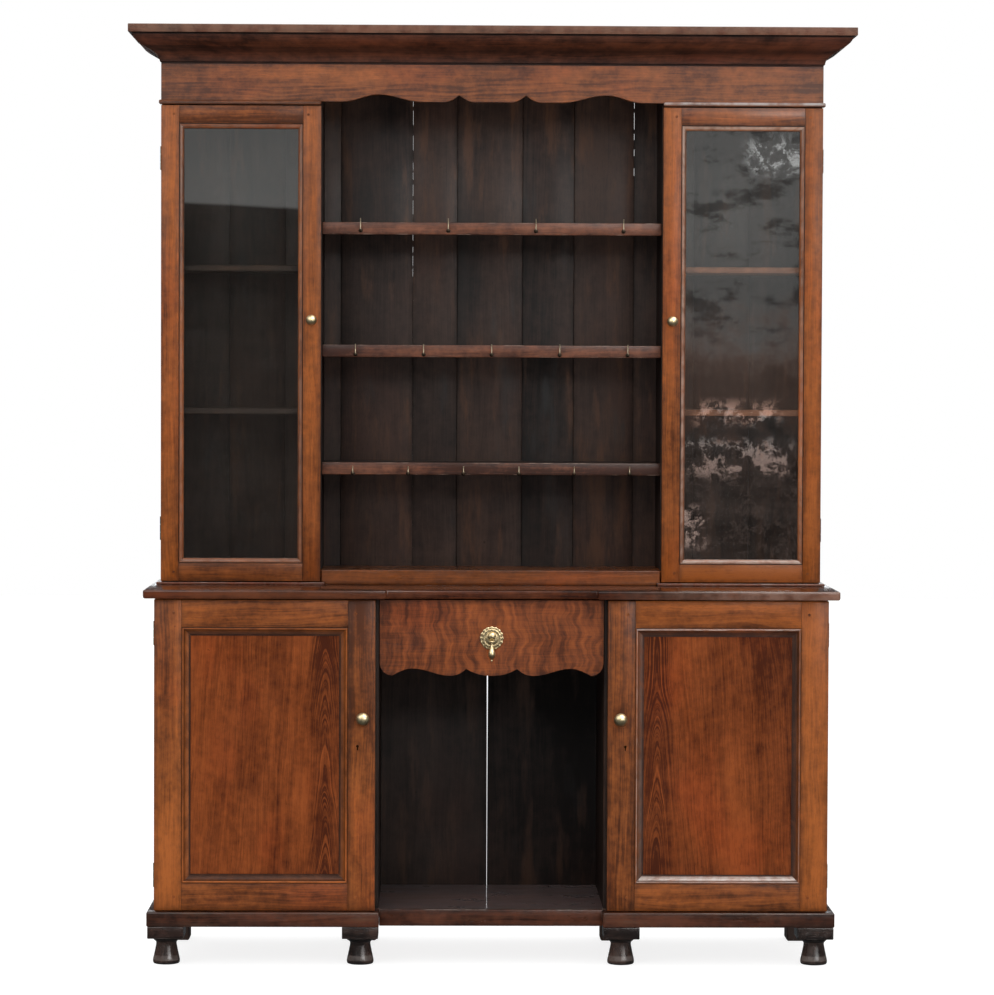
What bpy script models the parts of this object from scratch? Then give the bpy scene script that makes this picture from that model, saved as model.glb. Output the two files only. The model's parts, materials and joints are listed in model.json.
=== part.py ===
"""A Welsh dog-kennel dresser with a plate rack, glazed cupboards and turned feet.

Metres, +Z up, the front faces -Y. The pieces are laid out from the front edge of the
base carcase (y = 0), and one empty then carries them all to the middle of the floor.
"""

import math

import bmesh
import bpy
from mathutils import Matrix, Vector

# Fits that every piece shares
seat = 0.0003  # gap between pieces that touch
overrun = 0.010  # how far a cutter runs past a face
arris = 0.0015  # eased edge of a board
housing = 0.006  # depth of the trench that holds a shelf or floor

# Facets round what is turned
pin_steps = 12
knob_steps = 20
foot_steps = 24

# The whole dresser
width = 1.530  # across the sides, base and rack alike
base_depth = 0.430  # door face to back
rack_depth = 0.234  # door face to back
side_board = 0.020
back_board = 0.012
back_rebate = 0.010

# Feet and plinth
foot_height = 0.088
foot_block = 0.082
foot_block_height = 0.027
foot_collar_radius = 0.029
foot_neck_radius = 0.0232
foot_belly_radius = 0.0306
foot_inset = 0.002
foot_collar_shares = ((0.93, 1), (0.93, 0.975), (1, 0.955), (0.93, 0.90))  # radius, height
foot_neck_share = 0.77  # of the turned part's height
foot_belly_share = 0.14
foot_tuck_share = 0.15  # of the belly's radius, lost at the floor
back_foot = 0.070
plinth_height = 0.0335
plinth_projection = 0.016
plinth_rounding = 0.003
kennel_lip = 0.004

# Base carcase
base_height = 0.853
top_thickness = 0.020
top_side_overhang = 0.024
top_front_overhang = 0.020
top_rounding = 0.004
floor_board = 0.018
kennel_width = 0.512
kennel_wall = 0.020
base_shelf_height = 0.450
base_shelf_thickness = 0.016
base_shelf_setback = 0.030
back_gap_top = 0.0048
back_gap_bottom = 0.0024
back_gap_shift = -0.004

# Base doors
door_thickness = 0.024
door_stile = 0.062
door_reveal = 0.008  # strip of the kennel wall's edge that shows beside a door
door_gap_top = 0.003
door_gap_bottom = 0.002
panel_recess = 0.011
panel_thickness = 0.006
panel_groove = 0.007
moulding_width = 0.020
moulding_proud = 0.003
moulding_bead = 0.006
knob_crown_share = 0.42  # of a knob's projection, from its top to its widest
knob_underside_share = 0.32
knob_foot_shares = ((0.36, 0.14), (0.57, 0.10), (0.62, 0.05))  # radius, projection
door_knob_radius = 0.0155
door_knob_projection = 0.028
door_knob_edge = 0.0285  # from the free edge of the door
door_knob_height = 0.560
keyhole_edge = 0.040
keyhole_height = 0.498
keyhole_radius = 0.003
keyhole_slot = 0.0026
keyhole_drop = 0.009
lock_case_width = 0.046
lock_case_height = 0.060
lock_case_depth = 0.013
lock_case_edge = 0.003  # from the kennel wall
bolt_height = 0.014
bolt_depth = 0.006
bolt_length = 0.030
bolt_travel = 0.008
bolt_cover = 0.003  # case metal in front of the bolt

# Hinges
knuckle_radius = 0.003
knuckle_length = 0.018
hinge_pin_radius = 0.0013
hinge_clearance = 0.0004
hinge_offset = 0.0004  # axis beyond the side's face
hinge_end_share = 0.11  # of the door's height, from its end to the hinge

# Drawer
drawer_height = 0.172
drawer_side_clearance = 0.0015
drawer_gap_top = 0.004
drawer_front_thickness = 0.020
drawer_side_thickness = 0.011
drawer_back_thickness = 0.010
drawer_bottom_thickness = 0.007
drawer_groove = 0.005
drawer_groove_height = 0.008
drawer_box_depth = 0.350
drawer_box_height = 0.124
drawer_lap = 0.007  # wood of the front that hides the dovetails
dovetail_count = 3
dovetail_width_share = 0.36  # half a tail at its wide end, of the pitch
dovetail_slope_share = 0.16
dovetail_fit = 0.0004
runner_height = 0.016
runner_width = 0.016
scallop_end_height = 0.029
scallop_arch_height = 0.0165
scallop_cusp_height = 0.0157
scallop_tip_share = 0.890
scallop_arch_share = 0.707
scallop_lobe_share = 0.375
scallop_cusp_share = 0.2275
scallop_cusp_power = 2.3

# Drop pull
rosette_radius = 0.027
rosette_thickness = 0.0015
rosette_lobes = 16
rosette_lobe_depth = 0.0014
rosette_swell_shares = ((0, 2.4), (0.56, 2.1), (0.80, 1.5), (0.86, 0.5), (0, 0.5))
rosette_height_share = 0.523  # of the drawer front, from its top
boss_radius = 0.010
boss_projection = 0.009
boss_rise = 0.007
pull_pivot_drop = 0.008
pull_pivot_projection = 0.0108
pull_pin_radius = 0.0011
pull_eye_radius = 0.0030
pull_eye_width = 0.0050
pull_ear_width = 0.0022
pull_ear_gap = 0.0005
pull_length = 0.045
pull_belly_radius = 0.0084
pull_neck_share = 0.55  # of the eye's radius
pull_start_share = 0.80
pull_belly_share = 0.60  # of the length
pull_waist_share = 0.88
pull_bead_share = 0.26  # of the belly's radius
pull_bead_end_share = 0.70
pull_tip_shares = (0.94, 0.985)
pull_swell_power = 1.6

# Rack
strip_height = 0.006
strip_projection = 0.010
plate_bay_width = 0.788
partition = 0.018
rack_floor_rise = 0.034  # its top above the base top
rack_floor_thickness = 0.018
rack_floor_projection = 0.012
apron_thickness = 0.018
rack_shoulder_rise = 1.118  # underside of the frieze above the base top
roof_thickness = 0.018
glazed_thickness = 0.022
glazed_reveal = 0.002
glazed_gap_top = 0.0025
glazed_gap_bottom = 0.0025
glazed_stile = 0.041
glazing_moulding = 0.012
glazing_quirk = 0.002
glazing_sink = 0.008
glazing_rebate = 0.006
glass_thickness = 0.003
catch_knob_radius = 0.0125
catch_knob_projection = 0.025
catch_edge = 0.0215
catch_rise = 0.613  # above the base top
catch_shank_radius = 0.0034
catch_hole_clearance = 0.0004
tongue_length = 0.015
tongue_width = 0.010
tongue_thickness = 0.0025
tongue_setback = 0.006  # wood of the partition in front of the tongue
tongue_clearance = 0.0006
plate_shelf_thickness = 0.016
plate_shelf_edge_height = 0.028
plate_shelf_edge_thickness = 0.018
plate_shelf_setback = 0.004
plate_shelf_height_shares = (0.2306, 0.4825, 0.7445)  # rack floor to frieze
cupboard_shelf_thickness = 0.014
cupboard_shelf_setback = 0.014
cupboard_shelf_height_shares = (0.346, 0.652)
back_joint_shares = (-0.82, -0.645, -0.47, -0.245, -0.105, 0.100, 0.262, 0.450, 0.640, 0.815)
back_joint_width = 0.002
back_joint_depth = 0.003
back_slit_width = 0.0012
slit_joints = (3, 7)
slit_bottom_shares = (0.750, 0.860)
slit_top_share = 0.985

# Cup hooks, from the lowest shelf up: how many, their margin as a share of the bay, how far
# below the shelf's top they are screwed in and how far they rise from there
hook_counts = (6, 5, 4)
hook_margin_shares = (0.092, 0.099, 0.113)
hook_drops = (0.0255, 0.022, 0.019)
hook_rises = (0.0165, 0.023, 0.027)
hook_wire_radius = 0.0011
hook_reach = 0.011
hook_bend_radius = 0.004

# Frieze and cornice
frieze_arch_height = 0.0173
frieze_cusp_height = 0.0160
frieze_arch_shares = (0.875, 0.666, 0.407)  # start, peak and end from the middle
frieze_cusp_share = 0.195
frieze_cusp_half_share = 0.080
frieze_cusp_power = 1.6
bead_height = 0.008
bead_projection = 0.005
cornice_height = 0.085
cornice_projection = 0.071
cornice_fillet = 0.0185
cornice_fillet_step = 0.010
cornice_base_step = 0.005
cornice_wall = 0.018
cornice_sweep_share = 0.60  # of the curve's even slope, lost at each end and gained between

# Places that follow from the sizes
half = width / 2
rack_floor_height = base_height + rack_floor_rise
rack_shoulder_height = base_height + rack_shoulder_rise
catch_height = base_height + catch_rise
depth = base_depth - door_thickness
plinth_top = foot_height + plinth_height
floor_top = plinth_top + kennel_lip
top_underside = base_height - top_thickness
inner_half = half - side_board
kennel_half = kennel_width / 2
wall_half = kennel_half + kennel_wall
back_plane = depth - back_board - seat
rebate_half = half - back_rebate
door_inner = kennel_half + door_reveal
door_low = plinth_top + door_gap_bottom
door_high = top_underside - door_gap_top
door_face = -door_thickness
rack_face = depth - rack_depth
rack_front = rack_face + glazed_thickness
strip_top = base_height + seat + strip_height
rack_low = strip_top + seat
bay_half = plate_bay_width / 2
partition_half = bay_half + partition
glazed_inner = bay_half + glazed_reveal
glazed_low = strip_top + glazed_gap_bottom
glazed_high = rack_shoulder_height - bead_height - glazed_gap_top
rack_rise = rack_shoulder_height - rack_floor_height
cornice_low = rack_shoulder_height + cornice_height
rack_high = cornice_low - seat
roof_underside = rack_high - roof_thickness
panel_face = door_face + panel_recess
panel_back = panel_face + panel_thickness
drawer_high = top_underside - drawer_gap_top
drawer_low = drawer_high - drawer_height
drawer_half = kennel_half - drawer_side_clearance
box_low = drawer_high - drawer_box_height
front_reach = max(door_knob_projection, top_front_overhang, plinth_projection)
frame_y = -(depth - door_thickness - front_reach) / 2
weld = seat / 10  # points of an outline closer than this are one
sharp = math.radians(30)  # an edge that turns by more is eased

# The exact solver leaves open edges where small round work meets broad boards
fine = "MANIFOLD"

# Which way a flat outline's third axis points: its plane is YZ, XZ or XY
outline_turns = {
    "X": (math.pi / 2, 0, math.pi / 2),
    "Y": (math.pi / 2, 0, 0),
    "Z": (0, 0, 0),
}


def clear_scene():
    for obj in list(bpy.data.objects):
        bpy.data.objects.remove(obj, do_unlink=True)


def collection(name):
    made = bpy.data.collections.new(name)
    bpy.context.scene.collection.children.link(made)
    return made


def material(name, colour, roughness, metallic=0):
    made = bpy.data.materials.new(name)
    made.use_nodes = True
    shader = made.node_tree.nodes["Principled BSDF"]
    shader.inputs["Base Color"].default_value = (*colour, 1)
    shader.inputs["Roughness"].default_value = roughness
    shader.inputs["Metallic"].default_value = metallic
    made.diffuse_color = (*colour, 1)
    return made


clear_scene()
parts = collection("dresser")
guides = collection("cutters")
frame = bpy.data.objects.new("dresser_frame", None)
frame.location = (0, frame_y, 0)
parts.objects.link(frame)

oak = material("oak_frame", (0.262, 0.084, 0.024), 0.34)
panel_oak = material("oak_panel", (0.188, 0.047, 0.016), 0.36)
dark_oak = material("oak_dark", (0.078, 0.026, 0.014), 0.36)
inner_oak = material("oak_inside", (0.030, 0.017, 0.012), 0.62)
brass = material("brass", (0.58, 0.42, 0.18), 0.32, 1)
glass = material("glass", (0.80, 0.85, 0.84), 0.03)


# Ways of making a piece


def add(name, mesh, finish, location=(0, 0, 0)):
    """Put a mesh in the dresser under its own name."""
    mesh.name = name
    mesh.materials.clear()
    mesh.materials.append(finish)
    obj = bpy.data.objects.new(name, mesh)
    obj.location = location
    obj.parent = frame
    parts.objects.link(obj)
    return obj


def box(name, finish, x, y, z):
    """A board between two corners, its origin in its middle."""
    low = Vector((min(x), min(y), min(z)))
    high = Vector((max(x), max(y), max(z)))
    bm = bmesh.new()
    bmesh.ops.create_cube(bm, size=1, matrix=Matrix.Diagonal((high - low).to_4d()))
    mesh = bpy.data.meshes.new(name)
    bm.to_mesh(mesh)
    bm.free()
    return add(name, mesh, finish, (low + high) / 2)


def plate(name, finish, outline, span, axis):
    """A flat outline, given in the plane square to the axis, with the span as thickness."""
    curve = bpy.data.curves.new(name, "CURVE")
    curve.dimensions = "2D"
    curve.fill_mode = "BOTH"
    curve.extrude = abs(span[1] - span[0]) / 2
    spline = curve.splines.new("POLY")
    spline.points.add(len(outline) - 1)
    for point, (across, up) in zip(spline.points, outline):
        point.co = (across, up, 0, 1)
    spline.use_cyclic_u = True
    return from_curve(name, finish, curve, axis, (span[0] + span[1]) / 2)


def wire(name, finish, route, radius):
    """A bent wire with closed ends."""
    curve = bpy.data.curves.new(name, "CURVE")
    curve.dimensions = "3D"
    curve.bevel_depth = radius
    curve.bevel_resolution = 1
    curve.use_fill_caps = True
    spline = curve.splines.new("POLY")
    spline.points.add(len(route) - 1)
    for point, place in zip(spline.points, route):
        point.co = (*place, 1)
    return from_curve(name, finish, curve, "Z", 0)


def from_curve(name, finish, curve, axis, middle):
    guide = bpy.data.objects.new(name, curve)
    guides.objects.link(guide)
    depsgraph = bpy.context.evaluated_depsgraph_get()
    mesh = bpy.data.meshes.new_from_object(guide.evaluated_get(depsgraph))
    bpy.data.objects.remove(guide)
    bm = bmesh.new()
    bm.from_mesh(mesh)
    bmesh.ops.remove_doubles(bm, verts=bm.verts, dist=weld)
    bmesh.ops.recalc_face_normals(bm, faces=bm.faces)
    bm.to_mesh(mesh)
    bm.free()
    place = {"X": (middle, 0, 0), "Y": (0, middle, 0), "Z": (0, 0, middle)}
    obj = add(name, mesh, finish, place[axis])
    obj.rotation_euler = outline_turns[axis]
    return obj


def turned(name, finish, profile, steps, location=(0, 0, 0), closed=False):
    """A profile of (radius, height) pairs, from the top down its outer side, spun round Z."""
    bm = bmesh.new()
    corners = [bm.verts.new((radius, 0, height)) for radius, height in profile]
    for near, far in zip(corners, corners[1:]):
        bm.edges.new((near, far))
    if closed:
        bm.edges.new((corners[-1], corners[0]))
    mesh = bpy.data.meshes.new(name)
    bm.to_mesh(mesh)
    bm.free()
    obj = add(name, mesh, finish, location)
    screw = obj.modifiers.new("turn", "SCREW")
    screw.steps = steps
    screw.render_steps = steps
    screw.use_merge_vertices = True
    screw.merge_threshold = weld
    screw.use_smooth_shade = False
    return obj


def mitred(name, finish, sections, closed):
    """A moulding lofted between the sections at its mitres."""
    bm = bmesh.new()
    rings = [[bm.verts.new(point) for point in section] for section in sections]
    pairs = list(zip(rings, rings[1:]))
    if closed:
        pairs.append((rings[-1], rings[0]))
    for near, far in pairs:
        for index in range(len(near)):
            after = (index + 1) % len(near)
            bm.faces.new((near[index], near[after], far[after], far[index]))
    if not closed:
        bm.faces.new(rings[0])
        bm.faces.new(rings[-1])
    bmesh.ops.recalc_face_normals(bm, faces=bm.faces)
    mesh = bpy.data.meshes.new(name)
    bm.to_mesh(mesh)
    bm.free()
    return add(name, mesh, finish)


def framed(name, finish, x, z, profile):
    """A profile of (inward, y) pairs run round a rectangle in the XZ plane."""
    corners = (
        (min(x), min(z), 1, 1),
        (max(x), min(z), -1, 1),
        (max(x), max(z), -1, -1),
        (min(x), max(z), 1, -1),
    )
    sections = []
    for corner_x, corner_z, way_x, way_z in corners:
        sections.append([(corner_x + way_x * inward, y, corner_z + way_z * inward)
                         for inward, y in profile])
    return mitred(name, finish, sections, True)


def ease(obj, size=arris, segments=1):
    """Round the edges that stand outward, and leave inner corners sharp."""
    bm = bmesh.new()
    bm.from_mesh(obj.data)
    weight = bm.edges.layers.float.new("bevel_weight_edge")
    for edge in bm.edges:
        if edge.calc_face_angle_signed() > sharp:
            edge[weight] = 1
    bm.to_mesh(obj.data)
    bm.free()
    bevel = obj.modifiers.new("eased_edges", "BEVEL")
    bevel.width = size
    bevel.segments = segments
    bevel.limit_method = "WEIGHT"
    return obj


def combine(target, other, operation, solver):
    if parts in other.users_collection:
        parts.objects.unlink(other)
        guides.objects.link(other)
    other.hide_render = True
    other.display_type = "WIRE"
    boolean = target.modifiers.new(other.name, "BOOLEAN")
    boolean.operation = operation
    boolean.object = other
    boolean.solver = solver


def cut(target, cutter, solver="EXACT"):
    combine(target, cutter, "DIFFERENCE", solver)


def fuse(target, piece, solver="EXACT"):
    combine(target, piece, "UNION", solver)


def pivot(name, location):
    """An empty on the axis of a moving body."""
    empty = bpy.data.objects.new(name, None)
    empty.location = location
    empty.parent = frame
    parts.objects.link(empty)
    return empty


def hang(obj, empty):
    """Carry a piece, and whatever cuts or joins it, on a moving body."""
    obj.parent = empty
    obj.location = obj.location - empty.location
    for modifier in obj.modifiers:
        if modifier.type == "BOOLEAN" and modifier.object.parent is not empty:
            hang(modifier.object, empty)


def beside(side, near, far):
    """The X span between two distances from the middle, left (-1) or right (1)."""
    return (side * near, side * far)


def shares_of(count):
    """The even steps from the first share to one whole."""
    return [step / count for step in range(1, count + 1)]


# Feet and plinth


def front_foot(name, x, y):
    """A square block on a turned vase foot."""
    block_low = foot_height - foot_block_height
    neck = block_low * foot_neck_share
    belly = block_low * foot_belly_share
    top = block_low + seat * 3
    profile = [(0, top), (foot_collar_radius * foot_collar_shares[0][0], top)]
    for radius_share, height_share in foot_collar_shares[1:]:
        profile.append((foot_collar_radius * radius_share, block_low * height_share))
    profile.append((foot_neck_radius, neck))
    for share in shares_of(4):
        drop = neck - (neck - belly) * share
        swell = (1 - math.cos(math.pi * share)) / 2
        profile.append((foot_neck_radius + (foot_belly_radius - foot_neck_radius) * swell, drop))
    for share in shares_of(3):
        angle = share * math.pi / 2
        shrink = 1 - (1 - math.cos(angle)) * foot_tuck_share
        profile.append((foot_belly_radius * shrink, belly * (1 - math.sin(angle))))
    profile.append((0, 0))
    foot = turned(name, dark_oak, profile, foot_steps, (x, y, 0))
    reach = foot_block / 2
    block = box(name + "_block", dark_oak, (x - reach, x + reach), (y - reach, y + reach),
                (block_low, foot_height - seat))
    fuse(foot, ease(block))
    return foot


def feet():
    plinth_half = half + plinth_projection
    outer = plinth_half - foot_inset - foot_block / 2
    inner = kennel_half + foot_block / 2
    front = door_face - plinth_projection + foot_inset + foot_block / 2
    front_foot("front_foot_left", -outer, front)
    front_foot("front_foot_mid_left", -inner, front)
    front_foot("front_foot_mid_right", inner, front)
    front_foot("front_foot_right", outer, front)
    outer_back = (plinth_half - foot_inset - back_foot, plinth_half - foot_inset)
    inner_back = (wall_half - kennel_wall / 2, wall_half - kennel_wall / 2 + back_foot)
    for side, word in ((-1, "left"), (1, "right")):
        for place, (near, far) in (("", outer_back), ("mid_", inner_back)):
            ease(box("back_foot_" + place + word, dark_oak, beside(side, near, far),
                     (depth - back_foot, depth), (0, foot_height - seat)), arris * 2)


def plinth():
    """The moulded skirting, broken forward under the cupboards and returned to the back."""
    outer = half + plinth_projection
    inner = half + seat
    break_half = kennel_half - foot_inset
    flank = door_face - plinth_projection
    middle = -plinth_projection
    outline = [(-outer, depth), (-outer, flank), (-break_half, flank), (-break_half, middle),
               (break_half, middle), (break_half, flank), (outer, flank), (outer, depth),
               (inner, depth), (inner, -seat), (-inner, -seat), (-inner, depth)]
    skirt = plate("plinth", dark_oak, outline, (foot_height, plinth_top), "Z")
    ease(skirt, plinth_rounding, 2)
    lip = box("plinth_lip", dark_oak, (-break_half, break_half), (middle, -seat),
              (foot_height + plinth_rounding, floor_top))
    fuse(skirt, ease(lip))


# Base carcase


def shelf_trench(name, side, face, toward, y, z):
    """The cutter for a shelf's housing in an upright, from its face into its wood."""
    x = (side * (face - toward * overrun), side * (face + toward * housing))
    return box(name, inner_oak, x, y, (z[0] - seat, z[1] + seat))


def base_carcase():
    floor_span = (floor_top - floor_board, floor_top)
    shelf_span = (base_shelf_height - base_shelf_thickness, base_shelf_height)
    floor = ease(box("base_floor", dark_oak,
                     (-inner_half - housing + seat, inner_half + housing - seat),
                     (0, back_plane), floor_span))
    uprights = {}
    for side, word in ((-1, "left"), (1, "right")):
        bearer = box("floor_bearer_" + word, dark_oak,
                     beside(side, kennel_half + arris, kennel_half + foot_block),
                     (arris, back_plane - arris), (foot_height, floor_top - floor_board / 2))
        fuse(floor, bearer)
        board = ease(box("base_side_" + word, oak, beside(side, inner_half, half), (0, depth),
                         (foot_height, top_underside - seat)))
        cut(board, box("base_rebate_" + word, inner_oak,
                       beside(side, inner_half - overrun, rebate_half),
                       (back_plane, depth + overrun),
                       (foot_height - overrun, top_underside + overrun)))
        cut(board, shelf_trench("floor_trench_" + word, side, inner_half, 1,
                                (-overrun, back_plane + overrun), floor_span))
        shelf_y = (base_shelf_setback, back_plane)
        trench_y = (base_shelf_setback - seat, back_plane + overrun)
        cut(board, shelf_trench("shelf_trench_out_" + word, side, inner_half, 1,
                                trench_y, shelf_span))
        wall = ease(box("kennel_wall_" + word, inner_oak, beside(side, kennel_half, wall_half),
                        (0, back_plane), (floor_top + seat, top_underside - seat)))
        cut(wall, shelf_trench("shelf_trench_in_" + word, side, wall_half, -1,
                               trench_y, shelf_span))
        runner_top = box_low - seat
        runner_y = (drawer_front_thickness + seat * 2, drawer_front_thickness + drawer_box_depth)
        fuse(wall, box("drawer_runner_" + word, inner_oak,
                       beside(side, kennel_half - runner_width, kennel_half + kennel_wall / 2),
                       runner_y, (runner_top - runner_height, runner_top)))
        cut(wall, lock_mortise(side, word))
        ease(box("base_shelf_" + word, inner_oak,
                 beside(side, wall_half - housing + seat, inner_half + housing - seat),
                 shelf_y, shelf_span))
        uprights[word] = board
    base_back()
    return uprights


def base_back():
    """Two broad back boards that have shrunk apart, so that light shows between them."""
    edge = rebate_half - seat
    low = foot_height
    high = top_underside - seat
    for side, word in ((-1, "left"), (1, "right")):
        outline = [(side * edge, low), (back_gap_shift + side * back_gap_bottom / 2, low),
                   (back_gap_shift + side * back_gap_top / 2, high), (side * edge, high)]
        plate("base_back_" + word, inner_oak, outline, (back_plane + seat, depth), "Y")


def base_top():
    outer = half + top_side_overhang
    break_half = door_inner - top_side_overhang
    flank = door_face - top_front_overhang
    middle = -top_front_overhang
    outline = [(-outer, depth), (-outer, flank), (-break_half, flank), (-break_half, middle),
               (break_half, middle), (break_half, flank), (outer, flank), (outer, depth)]
    top = plate("base_top", dark_oak, outline, (top_underside, base_height), "Z")
    ease(top, top_rounding, 2)


# Hinges


def spindle(name, finish, radius, z, x, y):
    return turned(name, finish, [(0, z[1]), (radius, z[1]), (radius, z[0]), (0, z[0])],
                  pin_steps, (x, y, 0))


def hinge(name, fixed, moving, x, y, z):
    """A butt hinge: two knuckles and the pin on the carcase, one knuckle on the door."""
    mid = (z - knuckle_length / 2, z + knuckle_length / 2)
    gap = hinge_clearance
    ends = (mid[0] - gap - knuckle_length, mid[1] + gap + knuckle_length)
    clear = knuckle_radius + gap
    relief = spindle(name + "_relief", brass, clear, (mid[0] - gap, mid[1] + gap), x, y)
    cut(fixed, relief, fine)
    spool = [(0, ends[1]), (knuckle_radius, ends[1]), (knuckle_radius, mid[1] + gap),
             (hinge_pin_radius, mid[1] + gap), (hinge_pin_radius, mid[0] - gap),
             (knuckle_radius, mid[0] - gap), (knuckle_radius, ends[0]), (0, ends[0])]
    fuse(fixed, turned(name + "_spool", brass, spool, pin_steps, (x, y, 0)), fine)
    cut(moving, spindle(name + "_clear_low", brass, clear, (ends[0] - gap, mid[0]), x, y), fine)
    cut(moving, spindle(name + "_clear_high", brass, clear, (mid[1], ends[1] + gap), x, y), fine)
    fuse(moving, spindle(name + "_knuckle", brass, knuckle_radius, mid, x, y), fine)
    cut(moving, spindle(name + "_bore", brass, hinge_pin_radius + gap,
                        (mid[0] - overrun / 2, mid[1] + overrun / 2), x, y), fine)


def door_hinges(name, fixed, moving, side, y, low, high):
    offset = (high - low) * hinge_end_share
    for word, z in (("low", low + offset), ("high", high - offset)):
        hinge(name + "_hinge_" + word, fixed, moving, side * (half + hinge_offset), y, z)


# Base doors


def knob_profile(radius, projection):
    """A round brass knob, from its crown down to the rose that sits on the door."""
    neck_share = knob_foot_shares[0][0]
    profile = [(0, projection)]
    for share in shares_of(4):
        angle = share * math.pi / 2
        profile.append((radius * math.sin(angle),
                        projection * (1 - knob_crown_share * (1 - math.cos(angle)))))
    for share in shares_of(3):
        angle = share * math.pi / 2
        reach = radius * (neck_share + (1 - neck_share) * math.cos(angle))
        drop = 1 - knob_crown_share - knob_underside_share * math.sin(angle)
        profile.append((reach, projection * drop))
    for radius_share, height_share in knob_foot_shares:
        profile.append((radius * radius_share, projection * height_share))
    return profile


def door_knob(name, x, z):
    profile = knob_profile(door_knob_radius, door_knob_projection)
    foot = profile[-1][0]
    profile.append((foot, seat))
    profile.append((0, seat))
    knob = turned(name, brass, profile, knob_steps, (x, door_face, z))
    knob.rotation_euler = (math.pi / 2, 0, 0)
    return knob


def bolt_y():
    return (bolt_cover, bolt_cover + bolt_depth)


def bolt_z():
    return (keyhole_height - bolt_height / 2, keyhole_height + bolt_height / 2)


def grown(span, size):
    return (min(span) - size, max(span) + size)


def lock_mortise(side, word):
    """The pocket in the kennel wall that takes the thrown bolt."""
    deep = wall_half + lock_case_edge - bolt_travel
    return box("lock_mortise_" + word, inner_oak, beside(side, deep, wall_half + overrun),
               grown(bolt_y(), seat * 2), grown(bolt_z(), seat * 2))


def lock(frame_part, side, word):
    """A cupboard lock: its case is let on to the back of the door, its bolt slides sideways."""
    near = wall_half + lock_case_edge
    case = box("lock_case_" + word, brass, beside(side, near, near + lock_case_width),
               (-seat * 4, lock_case_depth),
               (keyhole_height - lock_case_height / 2, keyhole_height + lock_case_height / 2))
    fuse(frame_part, case, fine)
    channel_x = beside(side, near - overrun, near + bolt_length + seat * 4)
    cut(frame_part, box("lock_channel_" + word, brass, channel_x, grown(bolt_y(), seat),
                        grown(bolt_z(), seat)), fine)
    x = side * (door_inner + keyhole_edge)
    hole = spindle("keyhole_round_" + word, brass, keyhole_radius,
                   (-overrun, door_thickness + overrun / 2), x, 0)
    hole.rotation_euler = (math.pi / 2, 0, 0)
    hole.location = (x, 0, keyhole_height)
    cut(frame_part, hole, fine)
    cut(frame_part, box("keyhole_slot_" + word, brass,
                        (x - keyhole_slot / 2, x + keyhole_slot / 2),
                        (door_face - overrun / 2, bolt_cover + seat),
                        (keyhole_height - keyhole_drop, keyhole_height)), fine)
    start = near + seat
    return box("lock_bolt_" + word, brass, beside(side, start, start + bolt_length), bolt_y(),
               bolt_z())


def base_door(upright, side, word):
    name = "base_door_" + word
    x = beside(side, door_inner, half)
    z = (door_low, door_high)
    back = -seat
    groove = door_stile - panel_groove
    profile = [(0, back), (0, door_face + arris), (arris, door_face), (door_stile, door_face),
               (door_stile, panel_face - seat), (groove, panel_face - seat),
               (groove, panel_back + seat), (door_stile, panel_back + seat), (door_stile, back)]
    frame_part = framed(name + "_frame", oak, x, z, profile)
    panel_edge = groove + seat
    panel = box(name + "_panel", panel_oak,
                beside(side, door_inner + panel_edge, half - panel_edge),
                (panel_face, panel_back), (door_low + panel_edge, door_high - panel_edge))
    moulding = framed(name + "_moulding", dark_oak, x, z, moulding_profile())
    knob = door_knob(name + "_knob", side * (door_inner + door_knob_edge), door_knob_height)
    door_hinges(name, upright, frame_part, side, -seat / 2, door_low, door_high)
    bolt = lock(frame_part, side, word)
    axis = pivot(name + "_axis", (side * (half + hinge_offset), -seat / 2, door_low))
    for piece in (frame_part, panel, moulding, knob, bolt):
        hang(piece, axis)


def moulding_profile():
    """A bead that stands proud of the frame, then a hollow that falls to the panel."""
    outer = door_stile + seat
    bottom = panel_face - seat
    crest = door_face - moulding_proud
    radius = moulding_bead / 2
    inner = door_stile + moulding_width
    lip = moulding_proud / 2
    profile = [(outer, bottom), (outer, crest + radius)]
    for share in shares_of(3):
        angle = share * math.pi
        profile.append((outer + radius * (1 - math.cos(angle)),
                        crest + radius * (1 - math.sin(angle))))
    start = outer + moulding_bead
    hollow_top = crest + radius + seat
    for share in shares_of(4):
        angle = share * math.pi / 2
        profile.append((start + (inner - start) * (1 - math.cos(angle)),
                        hollow_top + (bottom - lip - hollow_top) * math.sin(angle)))
    profile.append((inner, bottom))
    return profile


# Drawer


def drawer_edge(half_width):
    """The scalloped lower edge of the drawer front, from the middle to its right end."""
    points = [(0, 0)]
    cusp = scallop_cusp_share
    for share in shares_of(6):
        points.append((cusp * share, scallop_cusp_height * share ** scallop_cusp_power))
    lobe = scallop_lobe_share
    for share in shares_of(5):
        points.append((cusp + (lobe - cusp) * share,
                       scallop_cusp_height * (1 - share) ** scallop_cusp_power))
    arch = scallop_arch_share
    for share in shares_of(7):
        points.append((lobe + (arch - lobe) * share,
                       scallop_arch_height * (1 - math.cos(math.pi * share)) / 2))
    tip = scallop_tip_share
    for share in shares_of(4):
        points.append((arch + (tip - arch) * share,
                       scallop_arch_height * math.cos(math.pi / 2 * share)))
    for share in shares_of(4):
        angle = share * math.pi / 2
        points.append((tip + (1 - tip) * math.sin(angle),
                       scallop_end_height * (1 - math.cos(angle))))
    return [(across * half_width, drawer_low + up) for across, up in points]


def tail_centres():
    pitch = drawer_box_height / dovetail_count
    return [box_low + pitch * (index + 1 / 2) for index in range(dovetail_count)]


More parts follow.
